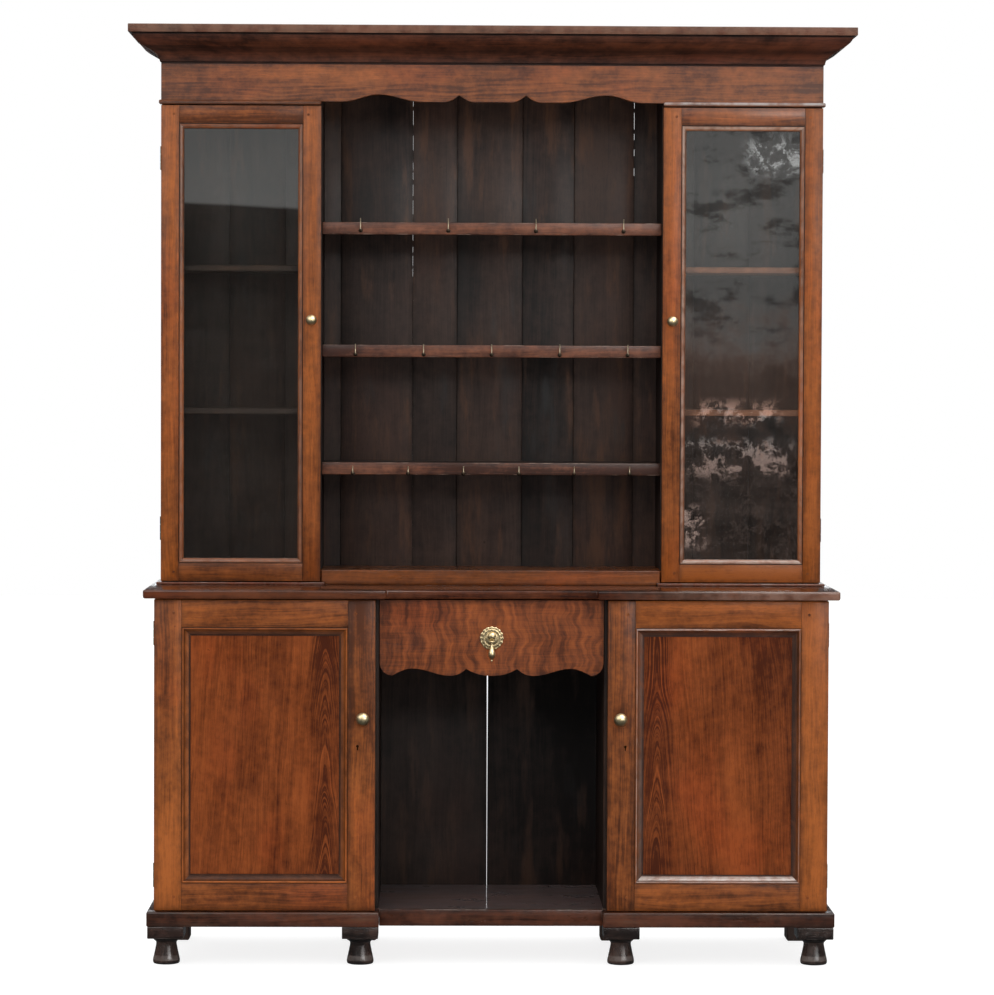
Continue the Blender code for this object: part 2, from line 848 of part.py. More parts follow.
def tail_outline(centre, root, tip, fit):
    """A dovetail in the YZ plane: narrow at its root, wide at its tip."""
    pitch = drawer_box_height / dovetail_count
    wide = pitch * dovetail_width_share
    narrow = wide - abs(root - tip) * dovetail_slope_share
    return [(root, centre - narrow - fit), (root, centre + narrow + fit),
            (tip, centre + wide + fit), (tip, centre - wide - fit)]


def drawer():
    axis = pivot("drawer_axis", (0, drawer_front_thickness, box_low))
    right = drawer_edge(drawer_half)
    left = [(-x, z) for x, z in reversed(right[1:])]
    outline = left + right + [(drawer_half, drawer_high), (-drawer_half, drawer_high)]
    front = plate("drawer_front", oak, outline, (0, drawer_front_thickness), "Y")
    back_end = drawer_front_thickness + drawer_box_depth
    side_y = (drawer_front_thickness + seat, back_end)
    inner = drawer_half - drawer_side_thickness
    bottom_z = (box_low + drawer_groove_height,
                box_low + drawer_groove_height + drawer_bottom_thickness)
    groove_z = grown(bottom_z, seat)
    pieces = [front]
    for side, word in ((-1, "left"), (1, "right")):
        x = beside(side, inner, drawer_half)
        sides = box("drawer_side_" + word, inner_oak, x, side_y, (box_low, drawer_high))
        for index, centre in enumerate(tail_centres()):
            label = word + str(index)
            tail = tail_outline(centre, side_y[0] + seat, drawer_lap + dovetail_fit, 0)
            fuse(sides, plate("drawer_tail_" + label, inner_oak, tail, x, "X"))
            socket = tail_outline(centre, drawer_front_thickness + overrun / 5, drawer_lap,
                                  dovetail_fit)
            cut(front, plate("drawer_socket_" + label, oak, socket,
                             beside(side, inner - dovetail_fit, drawer_half + overrun), "X"),
                fine)
        cut(sides, box("drawer_groove_" + word, inner_oak,
                       beside(side, inner - overrun, inner + drawer_groove),
                       (side_y[0] - overrun, back_end + overrun), groove_z))
        pieces.append(sides)
    reach = inner + drawer_groove - seat
    cut(front, box("drawer_groove_front", oak, (-inner + seat, inner - seat),
                   (drawer_front_thickness - drawer_groove, drawer_front_thickness + overrun),
                   groove_z), fine)
    bottom = box("drawer_bottom", inner_oak, (-reach, reach),
                 (drawer_front_thickness + seat, back_end), bottom_z)
    tongue = box("drawer_bottom_tongue", inner_oak, (-inner + seat * 3, inner - seat * 3),
                 (drawer_front_thickness - drawer_groove + seat, drawer_front_thickness + overrun),
                 bottom_z)
    fuse(bottom, tongue)
    back = box("drawer_back", inner_oak, (-inner + seat, inner - seat),
               (back_end - drawer_back_thickness, back_end), (bottom_z[1] + seat, drawer_high))
    rosette, drop, pin_axis = drop_pull()
    pieces += [bottom, back, rosette]
    for piece in pieces:
        hang(piece, axis)
    pin_axis.parent = axis
    pin_axis.location = pin_axis.location - axis.location
    return drop


def drop_pull():
    """A lobed brass rosette with a boss, and a pear drop that swings on a pin."""
    z = drawer_high - drawer_height * rosette_height_share + boss_rise / 2
    lobes = []
    for index in range(rosette_lobes * 4):
        angle = index * math.pi / (rosette_lobes * 2)
        dip = rosette_lobe_depth * (1 - math.cos(rosette_lobes * angle)) / 2
        reach = rosette_radius - dip
        lobes.append((reach * math.cos(angle), z + reach * math.sin(angle)))
    rosette = plate("drawer_pull_rosette", brass, lobes, (-rosette_thickness - seat, -seat), "Y")
    swell = [(rosette_radius * radius_share, rosette_thickness * height_share)
             for radius_share, height_share in rosette_swell_shares]
    boss = [(0, boss_projection)]
    for share in shares_of(4):
        angle = share * math.pi / 2
        boss.append((boss_radius * math.sin(angle),
                     rosette_thickness + (boss_projection - rosette_thickness) * math.cos(angle)))
    boss += [(boss_radius, rosette_thickness / 2), (0, rosette_thickness / 2)]
    for label, profile, height in (("swell", swell, z), ("boss", boss, z + boss_rise)):
        dome = turned("rosette_" + label, brass, profile, knob_steps, (0, -seat, height))
        dome.rotation_euler = (math.pi / 2, 0, 0)
        fuse(rosette, dome)
    pin_y = -pull_pivot_projection
    pin_z = z - pull_pivot_drop
    ear = pull_eye_width / 2 + pull_ear_gap
    for side, word in ((-1, "left"), (1, "right")):
        fuse(rosette, box("rosette_ear_" + word, brass, beside(side, ear, ear + pull_ear_width),
                          (pin_y - pull_pin_radius * 2, -rosette_thickness),
                          (pin_z - pull_pin_radius * 2, pin_z + pull_pin_radius * 2)))
    pin = turned("rosette_pin", brass,
                 [(0, ear + pull_ear_width / 2), (pull_pin_radius, ear + pull_ear_width / 2),
                  (pull_pin_radius, -ear - pull_ear_width / 2), (0, -ear - pull_ear_width / 2)],
                 pin_steps, (0, pin_y, pin_z))
    pin.rotation_euler = (0, math.pi / 2, 0)
    fuse(rosette, pin)
    axis = pivot("pull_drop_axis", (0, pin_y, pin_z))
    drop = pear_drop(pin_y, pin_z)
    hang(drop, axis)
    return rosette, drop, axis


def pear_drop(pin_y, pin_z):
    """A pear drop hung by an eye: neck, belly and tip bead turned in one."""
    neck = pull_eye_radius * pull_neck_share
    bead = pull_belly_radius * pull_bead_share
    waist = bead * pull_bead_end_share
    start = -pull_eye_radius * pull_start_share
    profile = [(0, start), (neck, start)]
    for share in shares_of(5):
        swell = math.sin(share * math.pi / 2) ** pull_swell_power
        profile.append((neck + (pull_belly_radius - neck) * swell,
                        start - (pull_length * pull_belly_share + start) * share))
    for share in shares_of(4):
        angle = share * math.pi / 2
        fall = pull_belly_share + (pull_waist_share - pull_belly_share) * math.sin(angle)
        profile.append((waist + (pull_belly_radius - waist) * math.cos(angle),
                        -pull_length * fall))
    for radius, fall in zip((bead, waist), pull_tip_shares):
        profile.append((radius, -pull_length * fall))
    profile.append((0, -pull_length))
    drop = turned("drawer_pull_drop", brass, profile, knob_steps, (0, pin_y, pin_z))
    reach = pull_eye_width / 2
    bore = pull_pin_radius + hinge_clearance
    eye = turned("pull_eye", brass, [(pull_eye_radius, reach), (pull_eye_radius, -reach),
                                     (bore, -reach), (bore, reach)],
                 pin_steps, (0, pin_y, pin_z), True)
    eye.rotation_euler = (0, math.pi / 2, 0)
    fuse(drop, eye)
    return drop


# Rack


def rack_carcase():
    floor_span = (rack_floor_height - rack_floor_thickness, rack_floor_height)
    roof_span = (roof_underside, rack_high)
    rack_floor(floor_span)
    ease(box("rack_roof", inner_oak, (-inner_half - housing + seat, inner_half + housing - seat),
             (rack_front, back_plane), roof_span))
    uprights = {}
    plate_z = [rack_floor_height + rack_rise * share for share in plate_shelf_height_shares]
    cupboard_z = [rack_floor_height + rack_rise * share for share in cupboard_shelf_height_shares]
    shelf_front = rack_front + plate_shelf_setback
    inside_y = (rack_front + cupboard_shelf_setback, back_plane)
    inside_trench = (inside_y[0] - seat, back_plane + overrun)
    for side, word in ((-1, "left"), (1, "right")):
        ease(box("rack_strip_" + word, dark_oak,
                 beside(side, glazed_inner - strip_projection, half + strip_projection),
                 (rack_face - strip_projection, back_plane), (base_height + seat, strip_top)))
        board = ease(box("rack_side_" + word, oak, beside(side, inner_half, half),
                         (rack_front, depth), (rack_low, rack_high)))
        cut(board, box("rack_rebate_" + word, inner_oak,
                       beside(side, inner_half - overrun, rebate_half),
                       (back_plane, depth + overrun), (rack_low - overrun, rack_high + overrun)))
        through_y = (rack_front - overrun, back_plane + overrun)
        cut(board, shelf_trench("rack_floor_trench_" + word, side, inner_half, 1, through_y,
                                floor_span))
        cut(board, shelf_trench("rack_roof_trench_" + word, side, inner_half, 1, through_y,
                                roof_span))
        wall = ease(box("rack_partition_" + word, inner_oak,
                        beside(side, bay_half, partition_half), (rack_front, back_plane),
                        (rack_floor_height + seat, roof_underside - seat)))
        for index, top in enumerate(plate_z):
            span = (top - plate_shelf_thickness, top)
            trench = (shelf_front + plate_shelf_edge_thickness / 2 - seat, back_plane + overrun)
            cut(wall, shelf_trench("plate_trench_" + word + str(index), side, bay_half, 1,
                                   trench, span))
        for index, top in enumerate(cupboard_z):
            span = (top - cupboard_shelf_thickness, top)
            label = word + str(index)
            cut(wall, shelf_trench("cupboard_trench_in_" + label, side, partition_half, -1,
                                   inside_trench, span))
            cut(board, shelf_trench("cupboard_trench_out_" + label, side, inner_half, 1,
                                    inside_trench, span))
            level = ("lower", "upper")[index]
            ease(box("cupboard_shelf_" + level + "_" + word, inner_oak,
                     beside(side, partition_half - housing + seat, inner_half + housing - seat),
                     inside_y, span))
        cut(wall, catch_slot(side, word))
        uprights[word] = board
    for index, top in enumerate(plate_z):
        plate_shelf(index, top, shelf_front)
    rack_back()
    return uprights


def rack_floor(floor_span):
    """The lowest plate shelf: it runs through both cupboards and has an apron in the bay."""
    board = box("rack_floor", dark_oak, (-inner_half - housing + seat, inner_half + housing - seat),
                (rack_front, back_plane), floor_span)
    wide = bay_half - seat
    narrow = glazed_inner - strip_projection - seat * 2
    front = rack_front - rack_floor_projection
    outline = [(-wide, rack_floor_height), (-wide, rack_low), (-narrow, rack_low),
               (-narrow, base_height + seat), (narrow, base_height + seat), (narrow, rack_low),
               (wide, rack_low), (wide, rack_floor_height)]
    apron = plate("rack_apron", dark_oak, outline, (front, front + apron_thickness), "Y")
    fuse(board, ease(apron), fine)


def plate_shelf(index, top, front):
    """A plate shelf with a deep front edge and brass cup hooks screwed into it."""
    name = "plate_shelf_" + ("lower", "middle", "upper")[index]
    edge_back = front + plate_shelf_edge_thickness
    shelf = box(name, dark_oak, (-bay_half - housing + seat, bay_half + housing - seat),
                (front + plate_shelf_edge_thickness / 2, back_plane),
                (top - plate_shelf_thickness, top))
    edge = box(name + "_edge", dark_oak, (-bay_half + seat, bay_half - seat), (front, edge_back),
               (top - plate_shelf_edge_height, top))
    fuse(shelf, ease(edge), fine)
    groove_y = front + plate_shelf_edge_thickness * 3
    cut(shelf, box(name + "_groove", dark_oak, (-bay_half + overrun, bay_half - overrun),
                   (groove_y, groove_y + arris * 4), (top - arris, top + overrun)), fine)
    count = hook_counts[index]
    reach = bay_half - plate_bay_width * hook_margin_shares[index]
    for number in range(count):
        x = -reach + 2 * reach * number / (count - 1)
        low = top - hook_drops[index]
        fuse(shelf, cup_hook(name + "_hook_" + str(number), x, front, low,
                             low + hook_rises[index]), fine)


def cup_hook(name, x, front, low, high):
    """A dresser hook: a shank that leaves the wood and turns straight up."""
    shank_end = front - hook_reach + hook_bend_radius
    route = [(x, front + arris * 2, low), (x, shank_end, low)]
    for share in shares_of(4):
        angle = share * math.pi / 2
        route.append((x, shank_end - hook_bend_radius * math.sin(angle),
                      low + hook_bend_radius * (1 - math.cos(angle))))
    route.append((x, front - hook_reach, high))
    return wire(name, brass, route, hook_wire_radius)


def rack_back():
    """Upright back boards seen as one: a grooved joint between them, two of them open."""
    edge = rebate_half - seat
    back = box("rack_back", inner_oak, (-edge, edge), (back_plane + seat, depth),
               (base_height + seat, rack_high))
    face = back_plane + seat
    for index, share in enumerate(back_joint_shares):
        x = edge * share
        cut(back, box("back_joint_" + str(index), inner_oak,
                      (x - back_joint_width / 2, x + back_joint_width / 2),
                      (face - overrun, face + back_joint_depth),
                      (base_height - overrun, rack_high + overrun)))
    for joint, low_share in zip(slit_joints, slit_bottom_shares):
        x = edge * back_joint_shares[joint]
        cut(back, box("back_slit_" + str(joint), inner_oak,
                      (x - back_slit_width / 2, x + back_slit_width / 2),
                      (face - overrun, depth + overrun),
                      (rack_floor_height + rack_rise * low_share,
                       rack_floor_height + rack_rise * slit_top_share)))


def frieze_edge():
    """The shaped lower edge of the frieze over the plates, from the middle to the right."""
    start, peak, end = frieze_arch_shares
    cusp = frieze_cusp_share
    reach = frieze_cusp_half_share
    points = [(cusp - reach, 0)]
    for share in shares_of(4):
        points.append((cusp - reach * (1 - share), frieze_cusp_height * share ** frieze_cusp_power))
    for share in shares_of(4):
        points.append((cusp + reach * share,
                       frieze_cusp_height * (1 - share) ** frieze_cusp_power))
    for near, far, low, high in ((end, peak, 0, 1), (peak, start, 1, 0)):
        if low == 0:
            points.append((near, 0))
        for share in shares_of(6):
            blend = (1 - math.cos(math.pi * share)) / 2
            points.append((near + (far - near) * share,
                           frieze_arch_height * (low + (high - low) * blend)))
    return [(across * glazed_inner, rack_shoulder_height + up) for across, up in points]


def frieze():
    right = frieze_edge()
    left = [(-x, z) for x, z in reversed(right)]
    low = rack_shoulder_height
    outline = [(-half, low)] + left + right + [(half, low), (half, rack_high), (-half, rack_high)]
    board = plate("frieze", oak, outline, (rack_face, rack_front - seat), "Y")
    for side, word in ((-1, "left"), (1, "right")):
        bead = box("frieze_bead_" + word, oak,
                   beside(side, glazed_inner, half + bead_projection),
                   (rack_face - bead_projection, rack_front - seat),
                   (low - bead_height, low + arris))
        fuse(board, ease(bead, bead_height / 4))


def cornice_profile():
    """The crown moulding as (projection, height): fillet, a wave under it, small step."""
    low = cornice_low
    high = cornice_low + cornice_height
    fillet = high - cornice_fillet
    outer = cornice_projection
    round_top = outer - cornice_fillet_step
    base = low + cornice_base_step
    profile = [(-cornice_wall, low), (0, low), (0, base - arris), (cornice_base_step, base)]
    for share in shares_of(10):
        turn = 2 * math.pi * share
        sweep = share - cornice_sweep_share * math.sin(turn) / (2 * math.pi)
        profile.append((cornice_base_step + (round_top - cornice_base_step) * sweep,
                        base + (fillet - base) * share))
    profile += [(outer - arris, fillet), (outer, fillet + arris), (outer, high - arris),
                (outer - arris, high), (-cornice_wall, high)]
    return profile


def cornice():
    """The crown moulding, mitred at the front corners and returned to the back."""
    stations = ((-half, depth, -1, 0), (-half, rack_face, -1, -1),
                (half, rack_face, 1, -1), (half, depth, 1, 0))
    profile = cornice_profile()
    sections = []
    for x, y, way_x, way_y in stations:
        sections.append([(x + way_x * out, y + way_y * out, up) for out, up in profile])
    mitred("cornice", dark_oak, sections, False)


# Glazed doors


def catch_slot(side, word):
    """The slot in the partition's outer face that the catch's tongue turns into."""
    axis_x = glazed_inner + catch_edge
    reach = tongue_length + tongue_clearance * 2
    return box("catch_slot_" + word, inner_oak,
               beside(side, axis_x - reach, partition_half + overrun),
               (rack_front + tongue_setback - tongue_clearance,
                rack_front + tongue_setback + tongue_thickness + tongue_clearance),
               (catch_height - reach, catch_height + tongue_width / 2 + tongue_clearance))


def turn_catch(name, side):
    """A round knob on a shank through the stile, with a tongue that turns behind it."""
    x = side * (glazed_inner + catch_edge)
    profile = knob_profile(catch_knob_radius, catch_knob_projection)
    profile.append((profile[-1][0], seat))
    end = glazed_thickness + tongue_setback + tongue_thickness
    profile += [(catch_shank_radius, seat), (catch_shank_radius, -end), (0, -end)]
    knob = turned(name, brass, profile, knob_steps, (x, rack_face, catch_height))
    knob.rotation_euler = (math.pi / 2, 0, 0)
    tongue_y = rack_front + tongue_setback
    tongue = box(name + "_tongue", brass, (x - tongue_width / 2, x + tongue_width / 2),
                 (tongue_y, tongue_y + tongue_thickness),
                 (catch_height - tongue_length, catch_height + tongue_width / 2))
    fuse(knob, tongue)
    return knob


def glazed_profile():
    """A stile with its glazing moulding worked on the edge, and a rebate behind for the glass."""
    back = rack_front - seat
    face = rack_face
    inner = glazed_stile + glazing_moulding
    sunk = face + glazing_sink
    quirk = glazed_stile + glazing_quirk
    profile = [(0, back), (0, face + arris), (arris, face), (glazed_stile, face),
               (glazed_stile, face + glazing_quirk), (quirk, face + glazing_quirk),
               (quirk, face + glazing_quirk / 4)]
    for share in shares_of(4):
        angle = share * math.pi / 2
        profile.append((quirk + (inner - quirk) * math.sin(angle),
                        face + glazing_quirk / 4
                        + (sunk - face - glazing_quirk) * (1 - math.cos(angle))))
    rebate_y = sunk + glazing_quirk
    profile += [(inner, rebate_y), (inner - glazing_rebate, rebate_y),
                (inner - glazing_rebate, back)]
    return profile, rebate_y


def glazed_door(upright, side, word):
    name = "glazed_door_" + word
    profile, rebate_y = glazed_profile()
    x = beside(side, glazed_inner, half)
    frame_part = framed(name + "_frame", oak, x, (glazed_low, glazed_high), profile)
    edge = glazed_stile + glazing_moulding - glazing_rebate + seat
    pane = box(name + "_glass", glass, beside(side, glazed_inner + edge, half - edge),
               (rebate_y + seat, rebate_y + seat + glass_thickness),
               (glazed_low + edge, glazed_high - edge))
    catch_x = side * (glazed_inner + catch_edge)
    hole = spindle("catch_hole_" + word, brass, catch_shank_radius + catch_hole_clearance,
                   (-glazed_thickness - overrun, overrun), catch_x, rack_face)
    hole.rotation_euler = (math.pi / 2, 0, 0)
    hole.location = (catch_x, rack_face, catch_height)
    cut(frame_part, hole, fine)
    hinge_y = rack_front - seat / 2
    door_hinges(name, upright, frame_part, side, hinge_y, glazed_low, glazed_high)
    catch = turn_catch(name + "_catch", side)
    axis = pivot(name + "_axis", (side * (half + hinge_offset), hinge_y, glazed_low))
    for piece in (frame_part, pane, catch):
        hang(piece, axis)


def dresser():
    feet()
    plinth()
    uprights = base_carcase()
    base_top()
    for side, word in ((-1, "left"), (1, "right")):
        base_door(uprights[word], side, word)
    drawer()
    uprights = rack_carcase()
    frieze()
    cornice()
    for side, word in ((-1, "left"), (1, "right")):
        glazed_door(uprights[word], side, word)


dresser()
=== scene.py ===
"""The finish of an oak dog-kennel dresser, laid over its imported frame.

Pieces are laid out in metres from the front edge of the base carcase (y = 0), as in the
part's source, and the vector forward takes each one to its place in the frame.
"""

import json
import math
import random
from collections import namedtuple

import bmesh
import bpy
import numpy as np
from mathutils import Matrix, Vector, noise

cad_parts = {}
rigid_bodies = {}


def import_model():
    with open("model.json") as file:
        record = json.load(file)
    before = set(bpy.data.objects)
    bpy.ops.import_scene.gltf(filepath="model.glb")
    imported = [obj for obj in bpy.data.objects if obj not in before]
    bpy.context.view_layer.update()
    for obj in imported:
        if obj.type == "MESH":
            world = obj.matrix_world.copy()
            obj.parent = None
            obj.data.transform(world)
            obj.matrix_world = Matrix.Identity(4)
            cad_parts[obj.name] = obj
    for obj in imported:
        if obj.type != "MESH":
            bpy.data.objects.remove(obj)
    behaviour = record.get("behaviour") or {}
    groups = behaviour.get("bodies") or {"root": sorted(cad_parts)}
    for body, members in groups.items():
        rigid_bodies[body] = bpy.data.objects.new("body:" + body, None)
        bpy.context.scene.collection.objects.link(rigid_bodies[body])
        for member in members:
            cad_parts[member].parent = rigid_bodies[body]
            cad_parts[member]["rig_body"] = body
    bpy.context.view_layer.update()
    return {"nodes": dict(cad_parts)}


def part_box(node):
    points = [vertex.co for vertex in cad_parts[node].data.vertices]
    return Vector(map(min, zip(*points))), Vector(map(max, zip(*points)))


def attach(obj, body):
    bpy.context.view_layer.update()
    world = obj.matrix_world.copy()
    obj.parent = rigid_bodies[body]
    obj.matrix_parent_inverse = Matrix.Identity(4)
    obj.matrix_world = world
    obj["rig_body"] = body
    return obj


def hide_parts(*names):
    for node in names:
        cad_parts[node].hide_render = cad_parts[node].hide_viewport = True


bl_info = {
    "name": "Dog-kennel dresser",
    "version": (1, 0, 0),
    "blender": (4, 5, 0),
    "location": "View3D > Sidebar > Dresser",
    "description": "Makes the boards, mouldings, brasses and glass of an oak dresser",
    "category": "Object",
}

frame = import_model()

# Made sizes that the boxes of the frame's nodes don't give
half = 0.765  # across the sides, from the middle
depth = 0.406  # from the carcase's front edge to its back
gap = 0.0003  # between pieces that touch
base_height = 0.853
side_inner = 0.745  # inner faces of the sides, from the middle
carcase_low = 0.088
rack_low, rack_high = 0.8536, 2.0555  # the rack's back boards
top_thickness = 0.020
door_face = -0.024
rack_face = 0.172
rack_front = 0.194
bay_half = 0.394
rosette_height = 0.7425
pin_y = -0.0108  # the pin that the drop swings on

# Inner edge and stile's width across the front, lower and upper edge, front and back face
Door = namedtuple("Door", "inner stile low high face back")
doors = {"base_door_": Door(0.264, 0.062, 0.1235, 0.830, door_face, -gap),
         "glazed_door_": Door(0.396, 0.041, 0.8618, 1.9605, rack_face, rack_front - gap)}

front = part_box("base_back_left")[1].y - depth
forward = Vector((0, front, 0))  # from the layout's zero to the frame's
axes = {"X": (0, 2, 1), "Y": (1, 0, 2), "Z": (2, 0, 1)}  # along the grain, across it, into it
sides = ((-1, "left"), (1, "right"))


# Settings


class DresserOak(bpy.types.PropertyGroup):
    """Colours and figure of the oak."""

    frame_light: bpy.props.FloatVectorProperty(
        name="Frame, light", description="Light grain of stiles, rails, sides and frieze",
        subtype="COLOR", default=(0.34, 0.091, 0.014), min=0, max=1)
    frame_dark: bpy.props.FloatVectorProperty(
        name="Frame, dark", description="Dark grain of stiles, rails, sides and frieze",
        subtype="COLOR", default=(0.070, 0.018, 0.004), min=0, max=1)
    panel_light: bpy.props.FloatVectorProperty(
        name="Panel, light", description="Light grain of the door panels",
        subtype="COLOR", default=(0.24, 0.056, 0.0105), min=0, max=1)
    panel_dark: bpy.props.FloatVectorProperty(
        name="Panel, dark", description="Dark grain of the door panels",
        subtype="COLOR", default=(0.055, 0.011, 0.003), min=0, max=1)
    dark_light: bpy.props.FloatVectorProperty(
        name="Dark parts, light", description="Light grain of the cornice, plinth and base floor",
        subtype="COLOR", default=(0.095, 0.026, 0.010), min=0, max=1)
    dark_dark: bpy.props.FloatVectorProperty(
        name="Dark parts, dark", description="Dark grain of the cornice, plinth and base floor",
        subtype="COLOR", default=(0.020, 0.006, 0.003), min=0, max=1)
    drawer_light: bpy.props.FloatVectorProperty(
        name="Drawer, light", description="Light grain of the drawer front",
        subtype="COLOR", default=(0.29, 0.072, 0.014), min=0, max=1)
    drawer_dark: bpy.props.FloatVectorProperty(
        name="Drawer, dark", description="Dark grain of the drawer front",
        subtype="COLOR", default=(0.070, 0.018, 0.006), min=0, max=1)
    shelf_light: bpy.props.FloatVectorProperty(
        name="Shelf edge, light", description="Light grain of the plate shelves' front edges",
        subtype="COLOR", default=(0.19, 0.064, 0.030), min=0, max=1)
    shelf_dark: bpy.props.FloatVectorProperty(
        name="Shelf edge, dark", description="Dark grain of the plate shelves' front edges",
        subtype="COLOR", default=(0.045, 0.014, 0.007), min=0, max=1)
    inside_light: bpy.props.FloatVectorProperty(
        name="Inside, light", description="Light grain of the back boards and linings",
        subtype="COLOR", default=(0.055, 0.029, 0.020), min=0, max=1)
    inside_dark: bpy.props.FloatVectorProperty(
        name="Inside, dark", description="Dark grain of the back boards and linings",
        subtype="COLOR", default=(0.012, 0.007, 0.006), min=0, max=1)


class DresserBrass(bpy.types.PropertyGroup):
    """Sizes and colours of the brasses."""

    bright: bpy.props.FloatVectorProperty(
        name="Bright brass", description="Where hands keep the brass bright",
        subtype="COLOR", default=(0.80, 0.66, 0.40), min=0, max=1)
    tarnished: bpy.props.FloatVectorProperty(
        name="Tarnished brass", description="Where the brass has dulled",
        subtype="COLOR", default=(0.42, 0.30, 0.15), min=0, max=1)
    hook_wire: bpy.props.FloatProperty(
        name="Hook wire", description="Radius of a cup hook's wire",
        subtype="DISTANCE", default=0.0013, min=0.0005, max=0.003, precision=4)
    hook_reach: bpy.props.FloatProperty(
        name="Hook reach", description="How far a cup hook stands out",
        subtype="DISTANCE", default=0.011, min=0.004, max=0.03, precision=4)
    screw_radius: bpy.props.FloatProperty(
        name="Screw head", description="Radius of the screw heads on the locks",
        subtype="DISTANCE", default=0.00224, min=0.001, max=0.006, precision=5)


class DresserStage(bpy.types.PropertyGroup):
    """Floor, light and camera."""

    floor_tone: bpy.props.FloatProperty(
        name="Floor tone", description="How pale the floor is", subtype="FACTOR",
        default=0.30, min=0, max=1)
    sky_strength: bpy.props.FloatProperty(
        name="Room light", description="Strength of the white room round the dresser",
        default=1.0, min=0, max=10)
    key_power: bpy.props.FloatProperty(
        name="Key light", description="Power of the large soft light, in watts",
        default=60.0, min=0, max=2000)
    lens: bpy.props.FloatProperty(
        name="Lens", description="Focal length of the camera", subtype="DISTANCE_CAMERA",
        default=131.55, min=20, max=300)


# Materials


class Sheet:
    """Short ways to lay out the nodes of one material."""

    def __init__(self, name):
        self.material = bpy.data.materials.new(name)
        self.material.use_nodes = True
        self.tree = self.material.node_tree
        self.tree.nodes.clear()

    def node(self, kind, inputs=None, **settings):
        made = self.tree.nodes.new("ShaderNode" + kind)
        for key, value in settings.items():
            setattr(made, key, value)
        for key, value in (inputs or {}).items():
            self.feed(made.inputs[key], value)
        return made

    def feed(self, socket, value):
        if isinstance(value, bpy.types.NodeSocket):
            self.tree.links.new(value, socket)
        else:
            socket.default_value = value

    def math(self, operation, a, b=0.0, c=0.0, clamp=False):
        made = self.node("Math", operation=operation, use_clamp=clamp)
        for socket, value in zip(made.inputs, (a, b, c)):
            self.feed(socket, value)
        return made.outputs[0]

    def plus(self, a, b):
        return self.math("ADD", a, b)

    def minus(self, a, b):
        return self.math("SUBTRACT", a, b)

    def times(self, a, b, *more):
        product = self.math("MULTIPLY", a, b)
        return self.times(product, *more) if more else product

    def within(self, value, rise, fall):
        """One between two soft edges, each a pair of values that it rises or falls over."""
        return self.times(self.span(value, *rise), self.span(value, *fall))

    def attribute(self, name):
        return self.node("Attribute", attribute_name=name).outputs["Vector"]

    def split(self, vector):
        made = self.node("SeparateXYZ", {"Vector": vector})
        return made.outputs[0], made.outputs[1], made.outputs[2]

    def join(self, x, y, z):
        return self.node("CombineXYZ", {"X": x, "Y": y, "Z": z}).outputs[0]

    def noise(self, vector, seed, detail=2.0, roughness=0.5, scale=1.0):
        made = self.node("TexNoise", {"Vector": vector, "W": seed, "Scale": scale,
                                      "Detail": detail, "Roughness": roughness},
                         noise_dimensions="4D")
        return made.outputs["Fac"]

    def span(self, value, low, high, to_low=0.0, to_high=1.0, smooth=True):
        made = self.node("MapRange", {"Value": value, "From Min": low, "From Max": high,
                                      "To Min": to_low, "To Max": to_high},
                         interpolation_type="SMOOTHSTEP" if smooth else "LINEAR")
        return made.outputs["Result"]

    def mix(self, share, a, b, blend="MIX"):
        made = self.node("Mix", data_type="RGBA", blend_type=blend)
        self.feed(made.inputs[0], share)
        self.feed(made.inputs[6], a)
        self.feed(made.inputs[7], b)
        return made.outputs[2]

    def finish(self, shader):
        output = self.node("OutputMaterial")
        self.tree.links.new(shader, output.inputs["Surface"])
        return self.material


